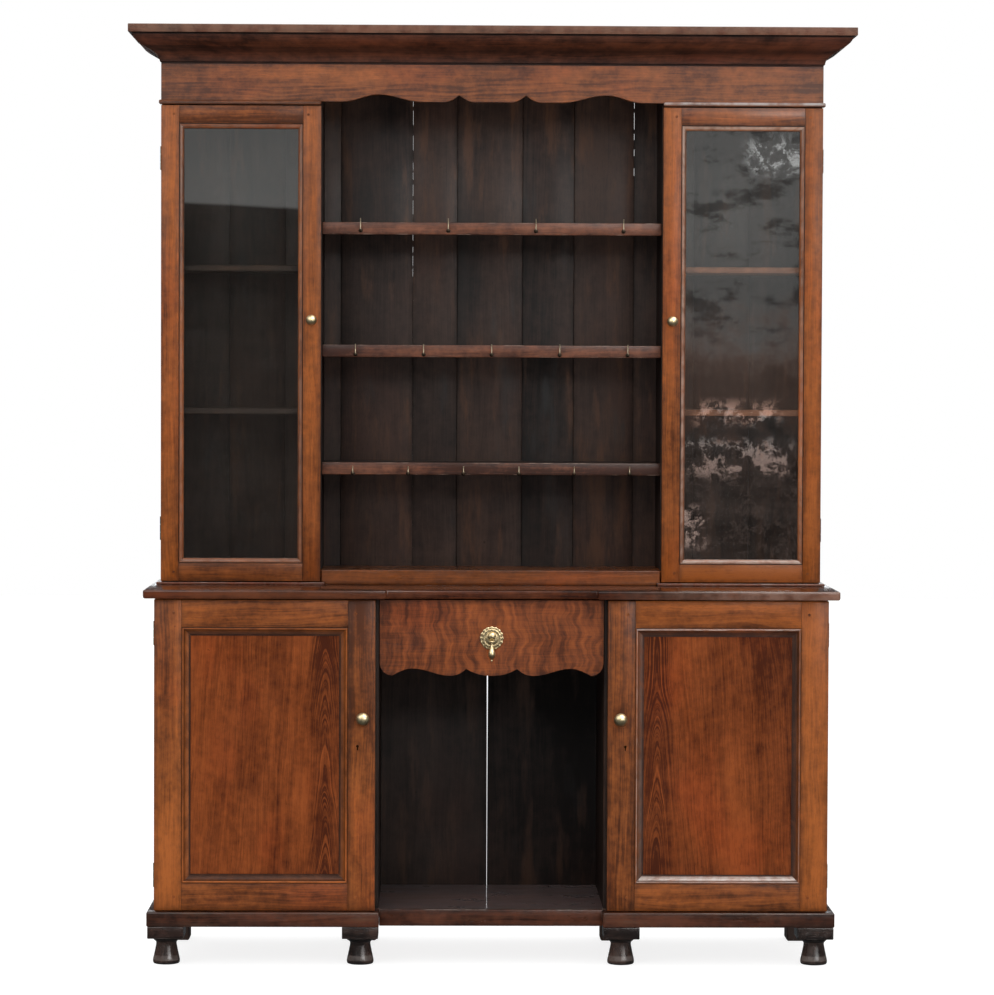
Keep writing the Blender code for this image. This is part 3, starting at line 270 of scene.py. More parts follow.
def oak(name, light, dark, rough=0.36, streak=1.0, blotch=1.0, curl=0.0, heart=0.0,
        coat=0.06, edge_dark=0.45, edge_worn=0.35, rust=0.0, pale=None, gloss=0.22, dust=0.0,
        wax_rough=0.18, relief=0.55):
    """Waxed oak: growth rings round a pith line, fibres, pores, stains, soiling and rubbing, and
    the painted shade and painted highlights that the marks of some pieces give.
    """
    s = Sheet(name)
    along, across, deep = s.split(s.attribute("grain"))
    place = s.attribute("place")
    seed, tone, taper = s.split(s.attribute("board"))
    darkening, paling, _ = s.split(s.attribute("age"))

    def figure(stretch, width, detail=2.0, roughness=0.5, far=across):
        """Noise drawn out along the grain: so many spots per metre along and across."""
        spot = s.join(s.times(along, stretch), s.times(far, width), s.times(deep, width))
        return s.noise(spot, seed, detail, roughness)

    def add(share, value, weight):
        return s.math("MULTIPLY_ADD", s.minus(value, 0.5), weight, share)

    # How far each point lies from the pith, with the slow wander of a real trunk
    wander = s.times(s.minus(figure(2.6, 6.0, 3.0), 0.5), 0.05)
    ring = s.math("SQRT", s.plus(s.math("POWER", across, 2.0), s.math("POWER", deep, 2.0)))
    ring = s.plus(ring, s.plus(wander, s.times(along, taper)))
    rings = s.noise(s.join(s.times(ring, 260.0), s.times(along, 2.5), s.times(deep, 20.0)),
                    seed, 4.0, 0.60)
    bands = s.noise(s.join(s.times(ring, 45.0), s.times(along, 1.5), 0.0), seed, 2.0, 0.5)
    fibre = figure(16.0, 640.0, 3.0, 0.6)
    strand = figure(9.0, 150.0, 3.0, 0.6)
    stain = figure(6.0, 15.0, 5.0, 0.65)
    broad = figure(1.6, 4.0, 1.0)
    mottle = s.noise(place, seed, 5.0, 0.68, 42.0)
    pores = s.times(s.span(figure(70.0, 1500.0, 1.0), 0.58, 0.70),
                    s.plus(s.span(rings, 0.50, 0.62), 0.25))

    # The share of light wood
    share = s.plus(tone, 0.5)
    for value, weight in ((rings, 1.25 * streak), (bands, 0.75 * streak), (fibre, 0.85),
                          (strand, 0.5), (stain, 1.2 * blotch), (mottle, 1.3 * blotch),
                          (broad, 1.5 * blotch)):
        share = add(share, value, weight)
    if heart:
        flame = s.noise(s.join(s.times(ring, 620.0), along, 0.0), seed, 3.0, 0.55)
        near = s.times(s.span(s.math("ABSOLUTE", across), 0.045, 0.012), heart)
        share = s.math("MULTIPLY_ADD", s.minus(flame, 0.60), near, share)
    if curl:
        bend = s.noise(s.join(s.times(along, 9.0), s.times(across, 20.0), 3.0), seed, 2.0)
        ripple = s.math("MULTIPLY_ADD", bend, 4.0, s.times(along, 80.0))
        wave = s.noise(s.join(ripple, s.times(across, 12.0), 0.0), seed, 3.0, 0.6)
        share = add(share, wave, curl)
    share = s.math("MAXIMUM", s.math("MINIMUM", share, 1.0), 0.0)
    colour = s.mix(share, (*dark, 1), (*light, 1))
    red = s.span(figure(3.0, 7.0, 3.0), 0.48, 0.72, 0, 0.55)
    colour = s.mix(red, colour, (1.0, 0.70, 0.62, 1), "MULTIPLY")
    if rust:
        stained = s.span(figure(4.0, 24.0, 5.0, 0.65), 0.52, 0.68, 0, rust)
        sooty = s.span(figure(1.5, 5.0, 4.0, 0.6), 0.46, 0.30, 0, rust)
        cool = s.span(figure(3.0, 13.0, 4.0, 0.6, s.plus(across, 3.0)), 0.58, 0.74, 0,
                      rust * 0.7)
        for patch, shade in ((stained, (0.095, 0.040, 0.019, 1)),
                             (sooty, (0.012, 0.011, 0.010, 1)),
                             (cool, (0.036, 0.038, 0.038, 1))):
            colour = s.mix(patch, colour, shade)

    # Soiling lies along the edges and in spots, and rubbing on the arrises; the marked darkening
    # is partly soiling and partly painted shade, and the marked paling partly rubbing and partly
    # painted highlight
    black = tuple(c * 0.30 for c in dark) + (1,)
    colour = s.mix(s.times(pores, 0.5), colour, black)
    rim = rim_of(s)
    patchy = s.noise(place, seed, 4.0, 0.62, 30.0)
    dirt_and_shade = s.times(s.span(rim, 0.013, 0.0005), s.span(patchy, 0.34, 0.62, 0.15, 1))
    spots = s.times(s.span(mottle, 0.67, 0.74), 0.6)
    dirt_and_shade = s.math("MAXIMUM", s.times(dirt_and_shade, edge_dark), spots)
    dirt_and_shade = s.math("MAXIMUM", dirt_and_shade, s.times(darkening, s.span(patchy, 0.10, 0.55, 0.45, 1.0)))
    colour = s.mix(dirt_and_shade, colour, black)
    rubbed = s.times(s.span(rim, 0.0016, 0.0004), s.span(patchy, 0.50, 0.66))
    rubbed = s.math("MAXIMUM", s.times(rubbed, edge_worn),
                    s.times(paling, s.span(patchy, 0.35, 0.62, 0.30, 1.0)))
    colour = s.mix(rubbed, colour, (*(pale or [c * 1.35 for c in light]), 1))

    height = s.math("MULTIPLY_ADD", pores, -0.7, s.times(rings, 0.55))
    uneven = s.noise(place, seed, 2.0, 0.5, 16.0)
    height = s.math("MULTIPLY_ADD", uneven, 2.6, height)
    bump = s.node("Bump", {"Strength": relief, "Distance": 0.0005, "Height": height})
    dull = s.math("MULTIPLY_ADD", dirt_and_shade, 0.20, add(rough, stain, 0.30))
    shader = s.node("BsdfPrincipled", {
        "Base Color": colour, "Roughness": dull, "Normal": bump.outputs["Normal"],
        "Specular IOR Level": gloss, "Coat Weight": coat, "Coat Roughness": wax_rough,
        "Sheen Weight": dust, "Sheen Roughness": 0.5, "Sheen Tint": (0.8, 0.8, 0.85, 1)})
    return s.finish(shader.outputs[0])


def rim_of(s):
    """How far a point of a board's face lies from the nearest edge of that face."""
    place = s.node("VectorMath", {0: s.attribute("place")}, operation="ABSOLUTE").outputs[0]
    left = s.node("VectorMath", {0: s.attribute("reach"), 1: place}, operation="SUBTRACT")
    x, y, z = s.split(left.outputs[0])
    low = s.math("MINIMUM", x, s.math("MINIMUM", y, z))
    high = s.math("MAXIMUM", x, s.math("MAXIMUM", y, z))
    total = s.plus(x, s.plus(y, z))
    return s.minus(s.minus(total, low), high)


def aged_brass(name, bright, tarnished, dull=0.0):
    s = Sheet(name)
    coords = s.node("TexCoord").outputs["Object"]
    darkening, paling, _ = s.split(s.attribute("age"))
    patch = s.noise(coords, 1.0, 4.0, 0.62, 95.0)
    fine = s.noise(coords, 2.0, 3.0, 0.6, 700.0)
    share = s.math("MULTIPLY_ADD", fine, 0.35, s.times(patch, 0.9))
    share = s.plus(share, s.math("MULTIPLY_ADD", darkening, 0.9, -0.42 + dull))
    share = s.math("SUBTRACT", share, s.times(paling, 0.4), clamp=True)
    colour = s.mix(share, (*bright, 1), (*tarnished, 1))
    rough = s.math("MULTIPLY_ADD", share, 0.20, 0.38)
    bump = s.node("Bump", {"Strength": 0.25, "Distance": 0.0002,
                           "Height": s.math("MULTIPLY_ADD", fine, 0.4, patch)})
    shader = s.node("BsdfPrincipled", {
        "Base Color": colour, "Roughness": rough, "Metallic": 1.0,
        "Normal": bump.outputs["Normal"]})
    return s.finish(shader.outputs[0])


def old_glass(name):
    """Thin drawn glass with a film of dust; the pane's own mesh wavers."""
    s = Sheet(name)
    film = s.noise(s.attribute("place"), 5.0, 5.0, 0.65, 14.0)
    clear = s.node("BsdfTransparent", {"Color": (0.93, 0.95, 0.94, 1)})
    shine = s.node("BsdfGlossy", {"Color": (1, 1, 1, 1), "Roughness": 0.0})
    dust = s.node("BsdfDiffuse", {"Color": (0.45, 0.45, 0.43, 1)})
    facing = s.node("LayerWeight", {"Blend": 0.5}).outputs["Facing"]
    mirror = s.math("MULTIPLY_ADD", s.math("POWER", facing, 5.0), 0.87, 0.126)
    pane = s.node("MixShader", {0: mirror, 1: clear.outputs[0],
                                2: shine.outputs[0]})
    veil = s.node("MixShader", {0: s.span(film, 0.50, 0.80, 0.002, 0.012),
                                1: pane.outputs[0], 2: dust.outputs[0]})
    return s.finish(veil.outputs[0])


finishes = {}


def make_finishes():
    """Fill finishes from the settings of the scene."""
    shades = bpy.context.scene.dresser_oak
    metal = bpy.context.scene.dresser_brass

    def pair(word):
        return tuple(getattr(shades, word + "_light")), tuple(getattr(shades, word + "_dark"))

    frame_oak, dark_oak, inner_oak = pair("frame"), pair("dark"), pair("inside")
    # The kennel's oak is the inside oak darkened to 0.62 of its colour: painted shade
    kennel_oak = [tuple(c * 0.62 for c in shade) for shade in inner_oak]
    # The cornice's pale colour is partly rubbing and partly painted highlight
    wear_and_highlight_oak = (0.30, 0.17, 0.11)
    oaks = {
        "oak_frame": ("frame_oak", frame_oak, {}),
        "oak_panel": ("panel_oak", pair("panel"), dict(
            blotch=0.95, heart=3.6, edge_dark=0.75, coat=0.03, gloss=0.10)),
        "oak_drawer": ("curly_oak", pair("drawer"), dict(streak=0.35, blotch=0.45, curl=2.4)),
        # The shelf edges' pale arrises are partly rubbing and partly painted highlight
        "oak_shelf": ("shelf_oak", pair("shelf"), dict(
            edge_worn=1.0, blotch=1.6, pale=(0.40, 0.26, 0.20), coat=0.12, gloss=0.35)),
        "oak_floor": ("floor_oak", dark_oak, dict(
            rough=0.30, blotch=1.4, coat=0.45, edge_worn=0.9, pale=(0.26, 0.17, 0.12),
            dust=0.10, wax_rough=0.05, relief=0.20)),
        "oak_crown": ("crown_oak", dark_oak, dict(
            rough=0.45, blotch=1.5, coat=0.0, edge_worn=0.9, pale=wear_and_highlight_oak)),
        # Its pale colour stands for rubbing, painted highlight on the crests and painted
        # reflection in the hollows
        "oak_moulding": ("moulding_oak", frame_oak, dict(
            rough=0.28, coat=0.8, gloss=0.35, pale=(0.42, 0.34, 0.30))),
        # Its pale colour is partly rubbing and partly painted highlight
        "oak_glazing": ("glazing_oak", frame_oak, dict(
            rough=0.28, coat=0.5, gloss=0.35, pale=(0.40, 0.28, 0.22))),
        "oak_inside": ("inner_oak", inner_oak, dict(
            rough=0.55, coat=0.05, streak=0.9, edge_worn=0.1, rust=0.75, gloss=0.30)),
        # The paler oak of the right cupboard's shelves: painted light
        "oak_ledge": ("ledge_oak", ((0.34, 0.130, 0.066), (0.13, 0.048, 0.026)), {}),
        # Its pale colour is a painted highlight on the right bead
        "oak_frieze": ("frieze_oak", frame_oak, dict(
            rough=0.40, coat=0.30, gloss=0.40, edge_worn=0.0, pale=(0.50, 0.46, 0.44))),
        # Its pale colour is rubbing on the arrises and a painted sheen on the front edge over the
        # right cupboard
        "oak_top": ("top_oak", ((0.115, 0.034, 0.013), (0.026, 0.008, 0.004)), dict(
            rough=0.16, blotch=1.4, coat=0.30, gloss=0.30, edge_worn=0.9,
            pale=(0.34, 0.20, 0.15), relief=0.30)),
        # Its pale arrises are partly rubbing and partly painted highlight
        "oak_strip": ("strip_oak", ((0.230, 0.075, 0.040), (0.060, 0.021, 0.012)), dict(
            rough=0.22, blotch=1.2, coat=0.5, gloss=0.4, edge_worn=1.0,
            pale=(0.46, 0.34, 0.29))),
        "oak_plinth": ("plinth_oak", dark_oak, dict(
            rough=0.30, blotch=1.5, coat=0.25, edge_worn=1.0, pale=(0.30, 0.24, 0.21),
            gloss=0.35, rust=0.75)),
        # Its pale grey is partly rubbing and partly painted highlight
        "oak_foot": ("foot_oak", ((0.060, 0.034, 0.026), (0.012, 0.008, 0.007)), dict(
            rough=0.22, blotch=1.6, coat=0.7, edge_worn=0.5, pale=(0.24, 0.20, 0.18),
            gloss=0.5)),
        "oak_kennel": ("kennel_oak", kennel_oak, dict(
            rough=0.55, coat=0.05, edge_worn=0.1, rust=0.34, gloss=0.25)),
    }
    for key, (name, shade, look) in oaks.items():
        finishes[key] = oak(name, *shade, **look)
    bright, tarnished = tuple(metal.bright), tuple(metal.tarnished)
    brown, black = (tuple(c * share for c in tarnished) for share in (0.3, 0.08))
    finishes["brass"] = aged_brass("aged_brass", bright, tarnished)
    finishes["brass_dull"] = aged_brass("dull_brass", bright, tarnished, 0.35)
    finishes["brass_dark"] = aged_brass("dark_brass", brown, black, 0.3)
    finishes["brass_hook"] = aged_brass("hook_brass", (0.46, 0.39, 0.28), (0.050, 0.038, 0.028))
    finishes["glass"] = old_glass("old_glass")


# Ways of making a piece


def plain(obj):
    """The evaluated mesh of an object, with its modifiers gone."""
    bpy.context.view_layer.update()
    graph = bpy.context.evaluated_depsgraph_get()
    mesh = bpy.data.meshes.new_from_object(obj.evaluated_get(graph))
    obj.modifiers.clear()
    obj.data = mesh
    return mesh


def object_of(name, bm):
    """Turn a bmesh into an object of the scene."""
    mesh = bpy.data.meshes.new(name)
    bm.to_mesh(mesh)
    bm.free()
    obj = bpy.data.objects.new(name, mesh)
    bpy.context.scene.collection.objects.link(obj)
    return obj


def put(name, bm, body, finish, grain="Z", box=None, tone=0.0, pith=None, taper=0.0,
        ease=0.0, segments=2, cuts=(), replaces=(), angle=32.0, shift=True):
    """Turn a bmesh into a finished piece on a body, with the marks its finish reads."""
    obj = object_of(name, bm)
    if ease:
        bevel = obj.modifiers.new("ease", "BEVEL")
        bevel.width = ease
        bevel.segments = segments
        bevel.limit_method = "ANGLE"
        bevel.angle_limit = math.radians(40)
    for cutter in cuts:
        cut = obj.modifiers.new("cut", "BOOLEAN")
        cut.object = cutter
        cut.solver = "MANIFOLD"
    if ease or cuts:
        plain(obj)
        for cutter in cuts:
            bpy.data.objects.remove(cutter)
    mesh = obj.data
    if shift:
        mesh.transform(Matrix.Translation(forward))
        if box:
            box = [Vector(corner) + forward for corner in box]
    mesh.shade_smooth()
    mesh.set_sharp_from_angle(angle=math.radians(angle))
    mark(mesh, name, grain, box, tone, pith, taper)
    return settle(obj, body, finish, replaces)


def settle(obj, body, finish, replaces=()):
    obj.data.materials.clear()
    obj.data.materials.append(finishes[finish])
    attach(obj, body)
    if replaces:
        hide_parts(*replaces)
    return obj


def mark(mesh, name, grain, box, tone, pith, taper):
    """Write the grain's own coordinates, the place on the board and the board's character."""
    count = len(mesh.vertices)
    points = np.empty(count * 3)
    mesh.vertices.foreach_get("co", points)
    points = points.reshape(-1, 3)
    low, high = (points.min(0), points.max(0)) if box is None else np.array(box, float)
    middle = (low + high) / 2
    reach = (high - low) / 2
    local = points - middle
    chance = random.Random(name)
    if pith is None:
        pith = (chance.choice((-1, 1)) * chance.uniform(0.16, 0.45), chance.uniform(0.05, 0.3))
    order = axes[grain]
    along = local[:, order[0]]
    across = local[:, order[1]] - pith[0]
    deep = local[:, order[2]] + pith[1]
    lean = taper or chance.uniform(-0.012, 0.012)
    write(mesh, "grain", np.stack([along, across, deep], 1))
    write(mesh, "place", local)
    write(mesh, "reach", np.tile(reach, (count, 1)))
    character = (chance.uniform(0, 60), tone + chance.uniform(-0.05, 0.05), lean)
    write(mesh, "board", np.tile(character, (count, 1)))
    if "age" not in mesh.attributes:
        write(mesh, "age", np.zeros((count, 3)))


def write(mesh, name, values):
    """Give a mesh a vector at each vertex, in place of any it has by that name."""
    if name in mesh.attributes:
        mesh.attributes.remove(mesh.attributes[name])
    layer = mesh.attributes.new(name, "FLOAT_VECTOR", "POINT")
    layer.data.foreach_set("vector", np.asarray(values, np.float32).ravel())


def age(mesh, marks_at):
    """Write the darkening and the paling that marks_at gives for the place of each vertex."""
    write(mesh, "age", [(*marks_at(vertex.co), 0) for vertex in mesh.vertices])


def edgeless(mesh):
    """Put a round piece's edges out of reach, so its edges are neither darkened nor paled."""
    write(mesh, "reach", np.full((len(mesh.vertices), 3), 5.0))


def laid(node):
    """The box of a CAD node, from the layout's zero."""
    low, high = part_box(node)
    return low - forward, high - forward


def block(x, y, z):
    bm = bmesh.new()
    low = Vector((min(x), min(y), min(z)))
    high = Vector((max(x), max(y), max(z)))
    matrix = Matrix.Translation((low + high) / 2) @ Matrix.Diagonal((*(high - low), 1))
    bmesh.ops.create_cube(bm, size=1, matrix=matrix)
    return bm


def board(name, body, x, y, z, grain="Z", finish="oak_frame", ease=0.0008, **rest):
    return put(name, block(x, y, z), body, finish, grain, ease=ease, **rest)


def beside(side, near, far):
    """A span across the dresser on one side of its middle."""
    return tuple(sorted((side * near, side * far)))


def node_copy(node, finish, grain="Z", **rest):
    """A finished piece with a CAD node's own shape, its loose triangles merged."""
    source = frame["nodes"][node]
    bm = bmesh.new()
    bm.from_mesh(source.data)
    bmesh.ops.remove_doubles(bm, verts=bm.verts, dist=0.00001)
    bmesh.ops.dissolve_limit(bm, angle_limit=math.radians(0.5), verts=bm.verts,
                             edges=bm.edges)
    return put(node + "_finish", bm, source["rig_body"], finish, grain, replaces=(node,),
               shift=False, **rest)


def join_rings(bm, rings):
    """Faces from each ring of points to the next. A ring may be a single point."""
    for near, far in zip(rings, rings[1:]):
        steps = max(len(near), len(far))
        for step in range(steps):
            after = (step + 1) % steps
            corners = [near[step % len(near)], near[after % len(near)],
                       far[after % len(far)], far[step % len(far)]]
            seen = list(dict.fromkeys(corners))
            if len(seen) > 2:
                bm.faces.new(seen)


def lathe(name, body, profile, centre, axis="Y", steps=48, finish="brass", ages=None,
          replaces=(), angle=40.0, tone=0.0):
    """A (radius, height) profile spun round an axis. Height runs to -Y, +Z or +X."""
    bm = bmesh.new()
    rings = []
    layer = bm.verts.layers.float_vector.new("age")
    for index, (radius, height) in enumerate(profile):
        count = 1 if radius == 0 else steps
        ring = []
        for step in range(count):
            turn = 2 * math.pi * step / steps
            flat = (radius * math.cos(turn), radius * math.sin(turn))
            spot = {"Y": (flat[0], -height, flat[1]), "Z": (flat[0], flat[1], height),
                    "X": (height, flat[0], flat[1])}[axis]
            vertex = bm.verts.new(Vector(spot) + Vector(centre))
            if ages:
                vertex[layer] = (*ages[index], 0)
            ring.append(vertex)
        rings.append(ring)
    join_rings(bm, rings)
    bmesh.ops.recalc_face_normals(bm, faces=bm.faces)
    obj = put(name, bm, body, finish, tone=tone, replaces=replaces, angle=angle)
    edgeless(obj.data)
    return obj


def slab(outline, span, axis="Y"):
    """An outline in the plane square to the axis, given a thickness."""
    bm = bmesh.new()
    place = {"Y": lambda a, b, d: (a, d, b), "Z": lambda a, b, d: (a, b, d)}[axis]
    near = [bm.verts.new(place(a, b, min(span))) for a, b in outline]
    far = [bm.verts.new(place(a, b, max(span))) for a, b in outline]
    bm.faces.new(near)
    bm.faces.new(list(reversed(far)))
    for index in range(len(near)):
        after = (index + 1) % len(near)
        bm.faces.new((near[after], near[index], far[index], far[after]))
    bmesh.ops.recalc_face_normals(bm, faces=bm.faces)
    return bm


def moulding(name, body, stations, profile, finish, ages, closed=True, replaces=(),
             tone=0.0, steps=10, wear_and_highlight=(1, 1, 1, 1), shine=(0, 0, 0, 0)):
    """Lengths of moulding mitred at the stations. profile holds (out, height) pairs, and a
    station is a function that places one of them. The marks give each point's darkening,
    paling and hollow; the darkening is partly soiling and partly painted shade. A factor for
    each length pales its crests, partly rubbing and partly painted highlight, and shine
    paints a reflection into its hollow and lifts the painted shade there."""
    bm = bmesh.new()
    layers = [bm.verts.layers.float_vector.new(word)
              for word in ("age", "place", "reach", "grain", "board")]
    chance = random.Random(name)
    runs = list(zip(stations, stations[1:]))
    if closed:
        runs.append((stations[-1], stations[0]))
    travelled = [0.0]
    for here, there in zip(profile, profile[1:]):
        travelled.append(travelled[-1] + math.dist(here, there))
    for (start, end), crest_wear_and_highlight, painted_reflection in zip(runs, wear_and_highlight, shine):
        origin = Vector(start(0, 0))
        length = (Vector(end(0, 0)) - origin).length
        course = (Vector(end(0, 0)) - origin).normalized()
        look = (chance.uniform(0, 60), tone + chance.uniform(-0.08, 0.08),
                chance.uniform(-0.01, 0.01))
        rings = []
        for step in range(steps + 1):
            share = step / steps
            ring = []
            for index, (out, up) in enumerate(profile):
                a, b = Vector(start(out, up)), Vector(end(out, up))
                point = a.lerp(b, share)
                vertex = bm.verts.new(point + forward)
                darkening, crest, hollow = (*ages[index], 0)[:3]
                # A hollow given a painted reflection has its painted shade lifted and is paled;
                # crests are paled by rubbing and painted highlight
                marks = ((darkening * (1 - hollow * painted_reflection), crest * crest_wear_and_highlight + hollow * painted_reflection, 0),
                         ((share * 2 - 1) * length / 2, travelled[index], 0),
                         (length / 2, 0, 9),
                         ((point - origin).dot(course), travelled[index] + 0.2, 0.1), look)
                for layer, values in zip(layers, marks):
                    vertex[layer] = values
                ring.append(vertex)
            rings.append(ring)
        join_rings(bm, rings)
        bm.faces.new(rings[0])
        bm.faces.new(list(reversed(rings[-1])))
    bmesh.ops.recalc_face_normals(bm, faces=bm.faces)
    obj = object_of(name, bm)
    obj.data.shade_smooth()
    obj.data.set_sharp_from_angle(angle=math.radians(25))
    return settle(obj, body, finish, replaces)


def corner_in(x, z, way_x, way_z, base_y):
    """A mitre of a moulding in a door: out runs into the opening, height to the front."""
    return lambda out, up: (x + way_x * out, base_y - up, z + way_z * out)


def door_frame(start, side, word, lock_stile, tones, base_y, top="oak_frame", cuts=()):
    """Stiles and rails of a door, and the mitres of the moulding inside them. The tones are
    those of the lock stile, the hinge stile, the bottom rail and the top rail."""
    door = doors[start]
    body = start + word
    name = body + "_"
    y = (door.face, door.back)
    z = (door.low, door.high)
    board(name + lock_stile, body, beside(side, door.inner, door.inner + door.stile), y, z,
          tone=tones[0], cuts=cuts, replaces=(name + "frame",))
    board(name + "hinge_stile", body, beside(side, half - door.stile, half), y, z,
          tone=tones[1])
    left, right = beside(side, door.inner + door.stile + gap, half - door.stile - gap)
    board(name + "bottom_rail", body, (left, right), y, (door.low, door.low + door.stile),
          "X", tone=tones[2])
    board(name + "top_rail", body, (left, right), y, (door.high - door.stile, door.high),
          "X", top, tone=tones[3])
    low, high = door.low + door.stile + gap, door.high - door.stile - gap
    return [corner_in(left, low, 1, 1, base_y), corner_in(right, low, -1, 1, base_y),
            corner_in(right, high, -1, -1, base_y), corner_in(left, high, 1, -1, base_y)]


# Geometry Nodes


class Tree:
    """Short ways to lay out a Geometry Nodes tree."""

    def __init__(self, name):
        self.group = bpy.data.node_groups.new(name, "GeometryNodeTree")
        self.sockets = {}
        self.group.interface.new_socket("Points", in_out="INPUT",
                                        socket_type="NodeSocketGeometry")
        self.group.interface.new_socket("Geometry", in_out="OUTPUT",
                                        socket_type="NodeSocketGeometry")
        self.source = self.group.nodes.new("NodeGroupInput")
        self.sink = self.group.nodes.new("NodeGroupOutput")

    def size(self, name, kind="Float", default=0.0):
        made = self.group.interface.new_socket(name, in_out="INPUT",
                                               socket_type="NodeSocket" + kind)
        if default is not None:
            made.default_value = default
        self.sockets[name] = made.identifier
        return self.source.outputs[name]

    def node(self, kind, inputs=None, **settings):
        made = self.group.nodes.new(kind)
        for key, value in settings.items():
            setattr(made, key, value)
        for key, value in (inputs or {}).items():
            if isinstance(value, bpy.types.NodeSocket):
                self.group.links.new(value, made.inputs[key])
            else:
                made.inputs[key].default_value = value
        return made

    def math(self, operation, a, b=0.0):
        return self.node("ShaderNodeMath", {0: a, 1: b}, operation=operation).outputs[0]

    def vector(self, x=0.0, y=0.0, z=0.0):
        return self.node("ShaderNodeCombineXYZ", {0: x, 1: y, 2: z}).outputs[0]

    def moved(self, geometry, translation, rotation=(0, 0, 0), scale=(1, 1, 1)):
        return self.node("GeometryNodeTransform", {
            "Geometry": geometry, "Translation": translation, "Rotation": rotation,
            "Scale": scale}).outputs["Geometry"]

    def joined(self, *parts):
        made = self.node("GeometryNodeJoinGeometry")
        for part in parts:
            self.group.links.new(part, made.inputs[0])
        return made.outputs[0]

    def scatter(self, instance, finish, turn=None):
        """Put a copy at each point, make the copies real and give them their material."""
        inputs = {"Points": self.source.outputs["Points"], "Instance": instance}
        if turn is not None:
            inputs["Rotation"] = turn
        spread = self.node("GeometryNodeInstanceOnPoints", inputs)
        real = self.node("GeometryNodeRealizeInstances", {0: spread.outputs[0]})
        done = self.node("GeometryNodeSetMaterial", {"Geometry": real.outputs[0],
                                                     "Material": finish})
        self.group.links.new(done.outputs[0], self.sink.inputs[0])


def hook_tree():
    """A dresser hook: a collar and a shank out of the wood, turned straight up."""
    tree = Tree("dresser_hook")
    wire = tree.size("Wire radius", default=0.0011)
    reach = tree.size("Reach", default=0.011)
    rise = tree.size("Rise", default=0.02)
    bend = tree.size("Bend radius", default=0.004)
    finish = tree.size("Finish", "Material", None)
    out = tree.math("MULTIPLY", tree.math("SUBTRACT", reach, bend), -1.0)
    tip_y = tree.math("MULTIPLY", reach, -1.0)
    shank = tree.node("GeometryNodeCurvePrimitiveLine", {
        "Start": (0.0, 0.002, 0.0), "End": tree.vector(y=out)})
    turn = tree.node("GeometryNodeCurvePrimitiveBezierSegment", {
        "Resolution": 10, "Start": tree.vector(y=out),
        "Start Handle": tree.vector(y=tree.math("SUBTRACT", out,
                                                tree.math("MULTIPLY", bend, 0.55))),
        "End Handle": tree.vector(y=tip_y, z=tree.math("MULTIPLY", bend, 0.45)),
        "End": tree.vector(y=tip_y, z=bend)}, mode="POSITION")
    tip = tree.node("GeometryNodeCurvePrimitiveLine", {
        "Start": tree.vector(y=tip_y, z=bend), "End": tree.vector(y=tip_y, z=rise)})
    route = tree.node("GeometryNodeCurveToMesh", {
        "Curve": tree.node("GeometryNodeSetCurveRadius", {
            "Curve": joined_curve(tree, shank, turn, tip), "Radius": 1.0}).outputs[0],
        "Profile Curve": tree.node("GeometryNodeCurvePrimitiveCircle", {
            "Resolution": 10, "Radius": wire}).outputs[0],
        "Fill Caps": True})
    ball = tree.node("GeometryNodeMeshUVSphere", {
        "Segments": 10, "Rings": 6, "Radius": tree.math("MULTIPLY", wire, 1.05)})
    collar = tree.node("GeometryNodeMeshUVSphere", {
        "Segments": 14, "Rings": 8, "Radius": tree.math("MULTIPLY", wire, 3.8)})
    parts = tree.joined(route.outputs[0],
                        tree.moved(ball.outputs[0], tree.vector(y=tip_y, z=rise)),
                        tree.moved(collar.outputs[0], (0.0, 0.0, 0.0), (0.0, 0.0, 0.0),
                                   (1.0, 0.5, 1.0)))
    smooth = tree.node("GeometryNodeSetShadeSmooth", {"Geometry": parts})
    tree.scatter(smooth.outputs[0], finish)
    return tree


def joined_curve(tree, *parts):
    """One spline through the points of several curves laid end to end."""
    points = tree.joined(*(tree.node("GeometryNodeCurveToPoints", {
        "Curve": part.outputs[0]}, mode="EVALUATED").outputs["Points"] for part in parts))
    return tree.node("GeometryNodePointsToCurves", {"Points": points}).outputs[0]


def stud_tree():
    """A low round head: plain it is a peg's end, and with a slot a screw's."""
    tree = Tree("stud")
    radius = tree.size("Radius", default=0.003)
    rise = tree.size("Rise", default=0.0006)
    slot = tree.size("Slot width", default=0.0)
    finish = tree.size("Finish", "Material", None)
    turn = tree.size("Rotation", "Rotation", None)
    head = tree.node("GeometryNodeMeshCylinder", {
        "Vertices": 18, "Radius": radius, "Depth": tree.math("MULTIPLY", rise, 2.0)})
    groove = tree.node("GeometryNodeMeshCube", {
        "Size": tree.vector(tree.math("MULTIPLY", radius, 3.0), slot, rise)})
    cut = tree.node("GeometryNodeMeshBoolean", operation="DIFFERENCE")
    tree.group.links.new(head.outputs[0], cut.inputs["Mesh 1"])
    tree.group.links.new(tree.moved(groove.outputs[0], tree.vector(z=rise)),
                         cut.inputs["Mesh 2"])
    chance = tree.node("FunctionNodeRandomValue", {"Min": (0.0, 0.0, 0.0),
                                                   "Max": (0.0, 0.0, 6.283), "Seed": 5},
                       data_type="FLOAT_VECTOR")
    spin = tree.node("FunctionNodeEulerToRotation", {0: chance.outputs[0]})
    both = tree.node("FunctionNodeRotateRotation", {0: spin.outputs[0], 1: turn},
                     rotation_space="GLOBAL")
    tree.scatter(cut.outputs[0], finish, both.outputs[0])
    return tree


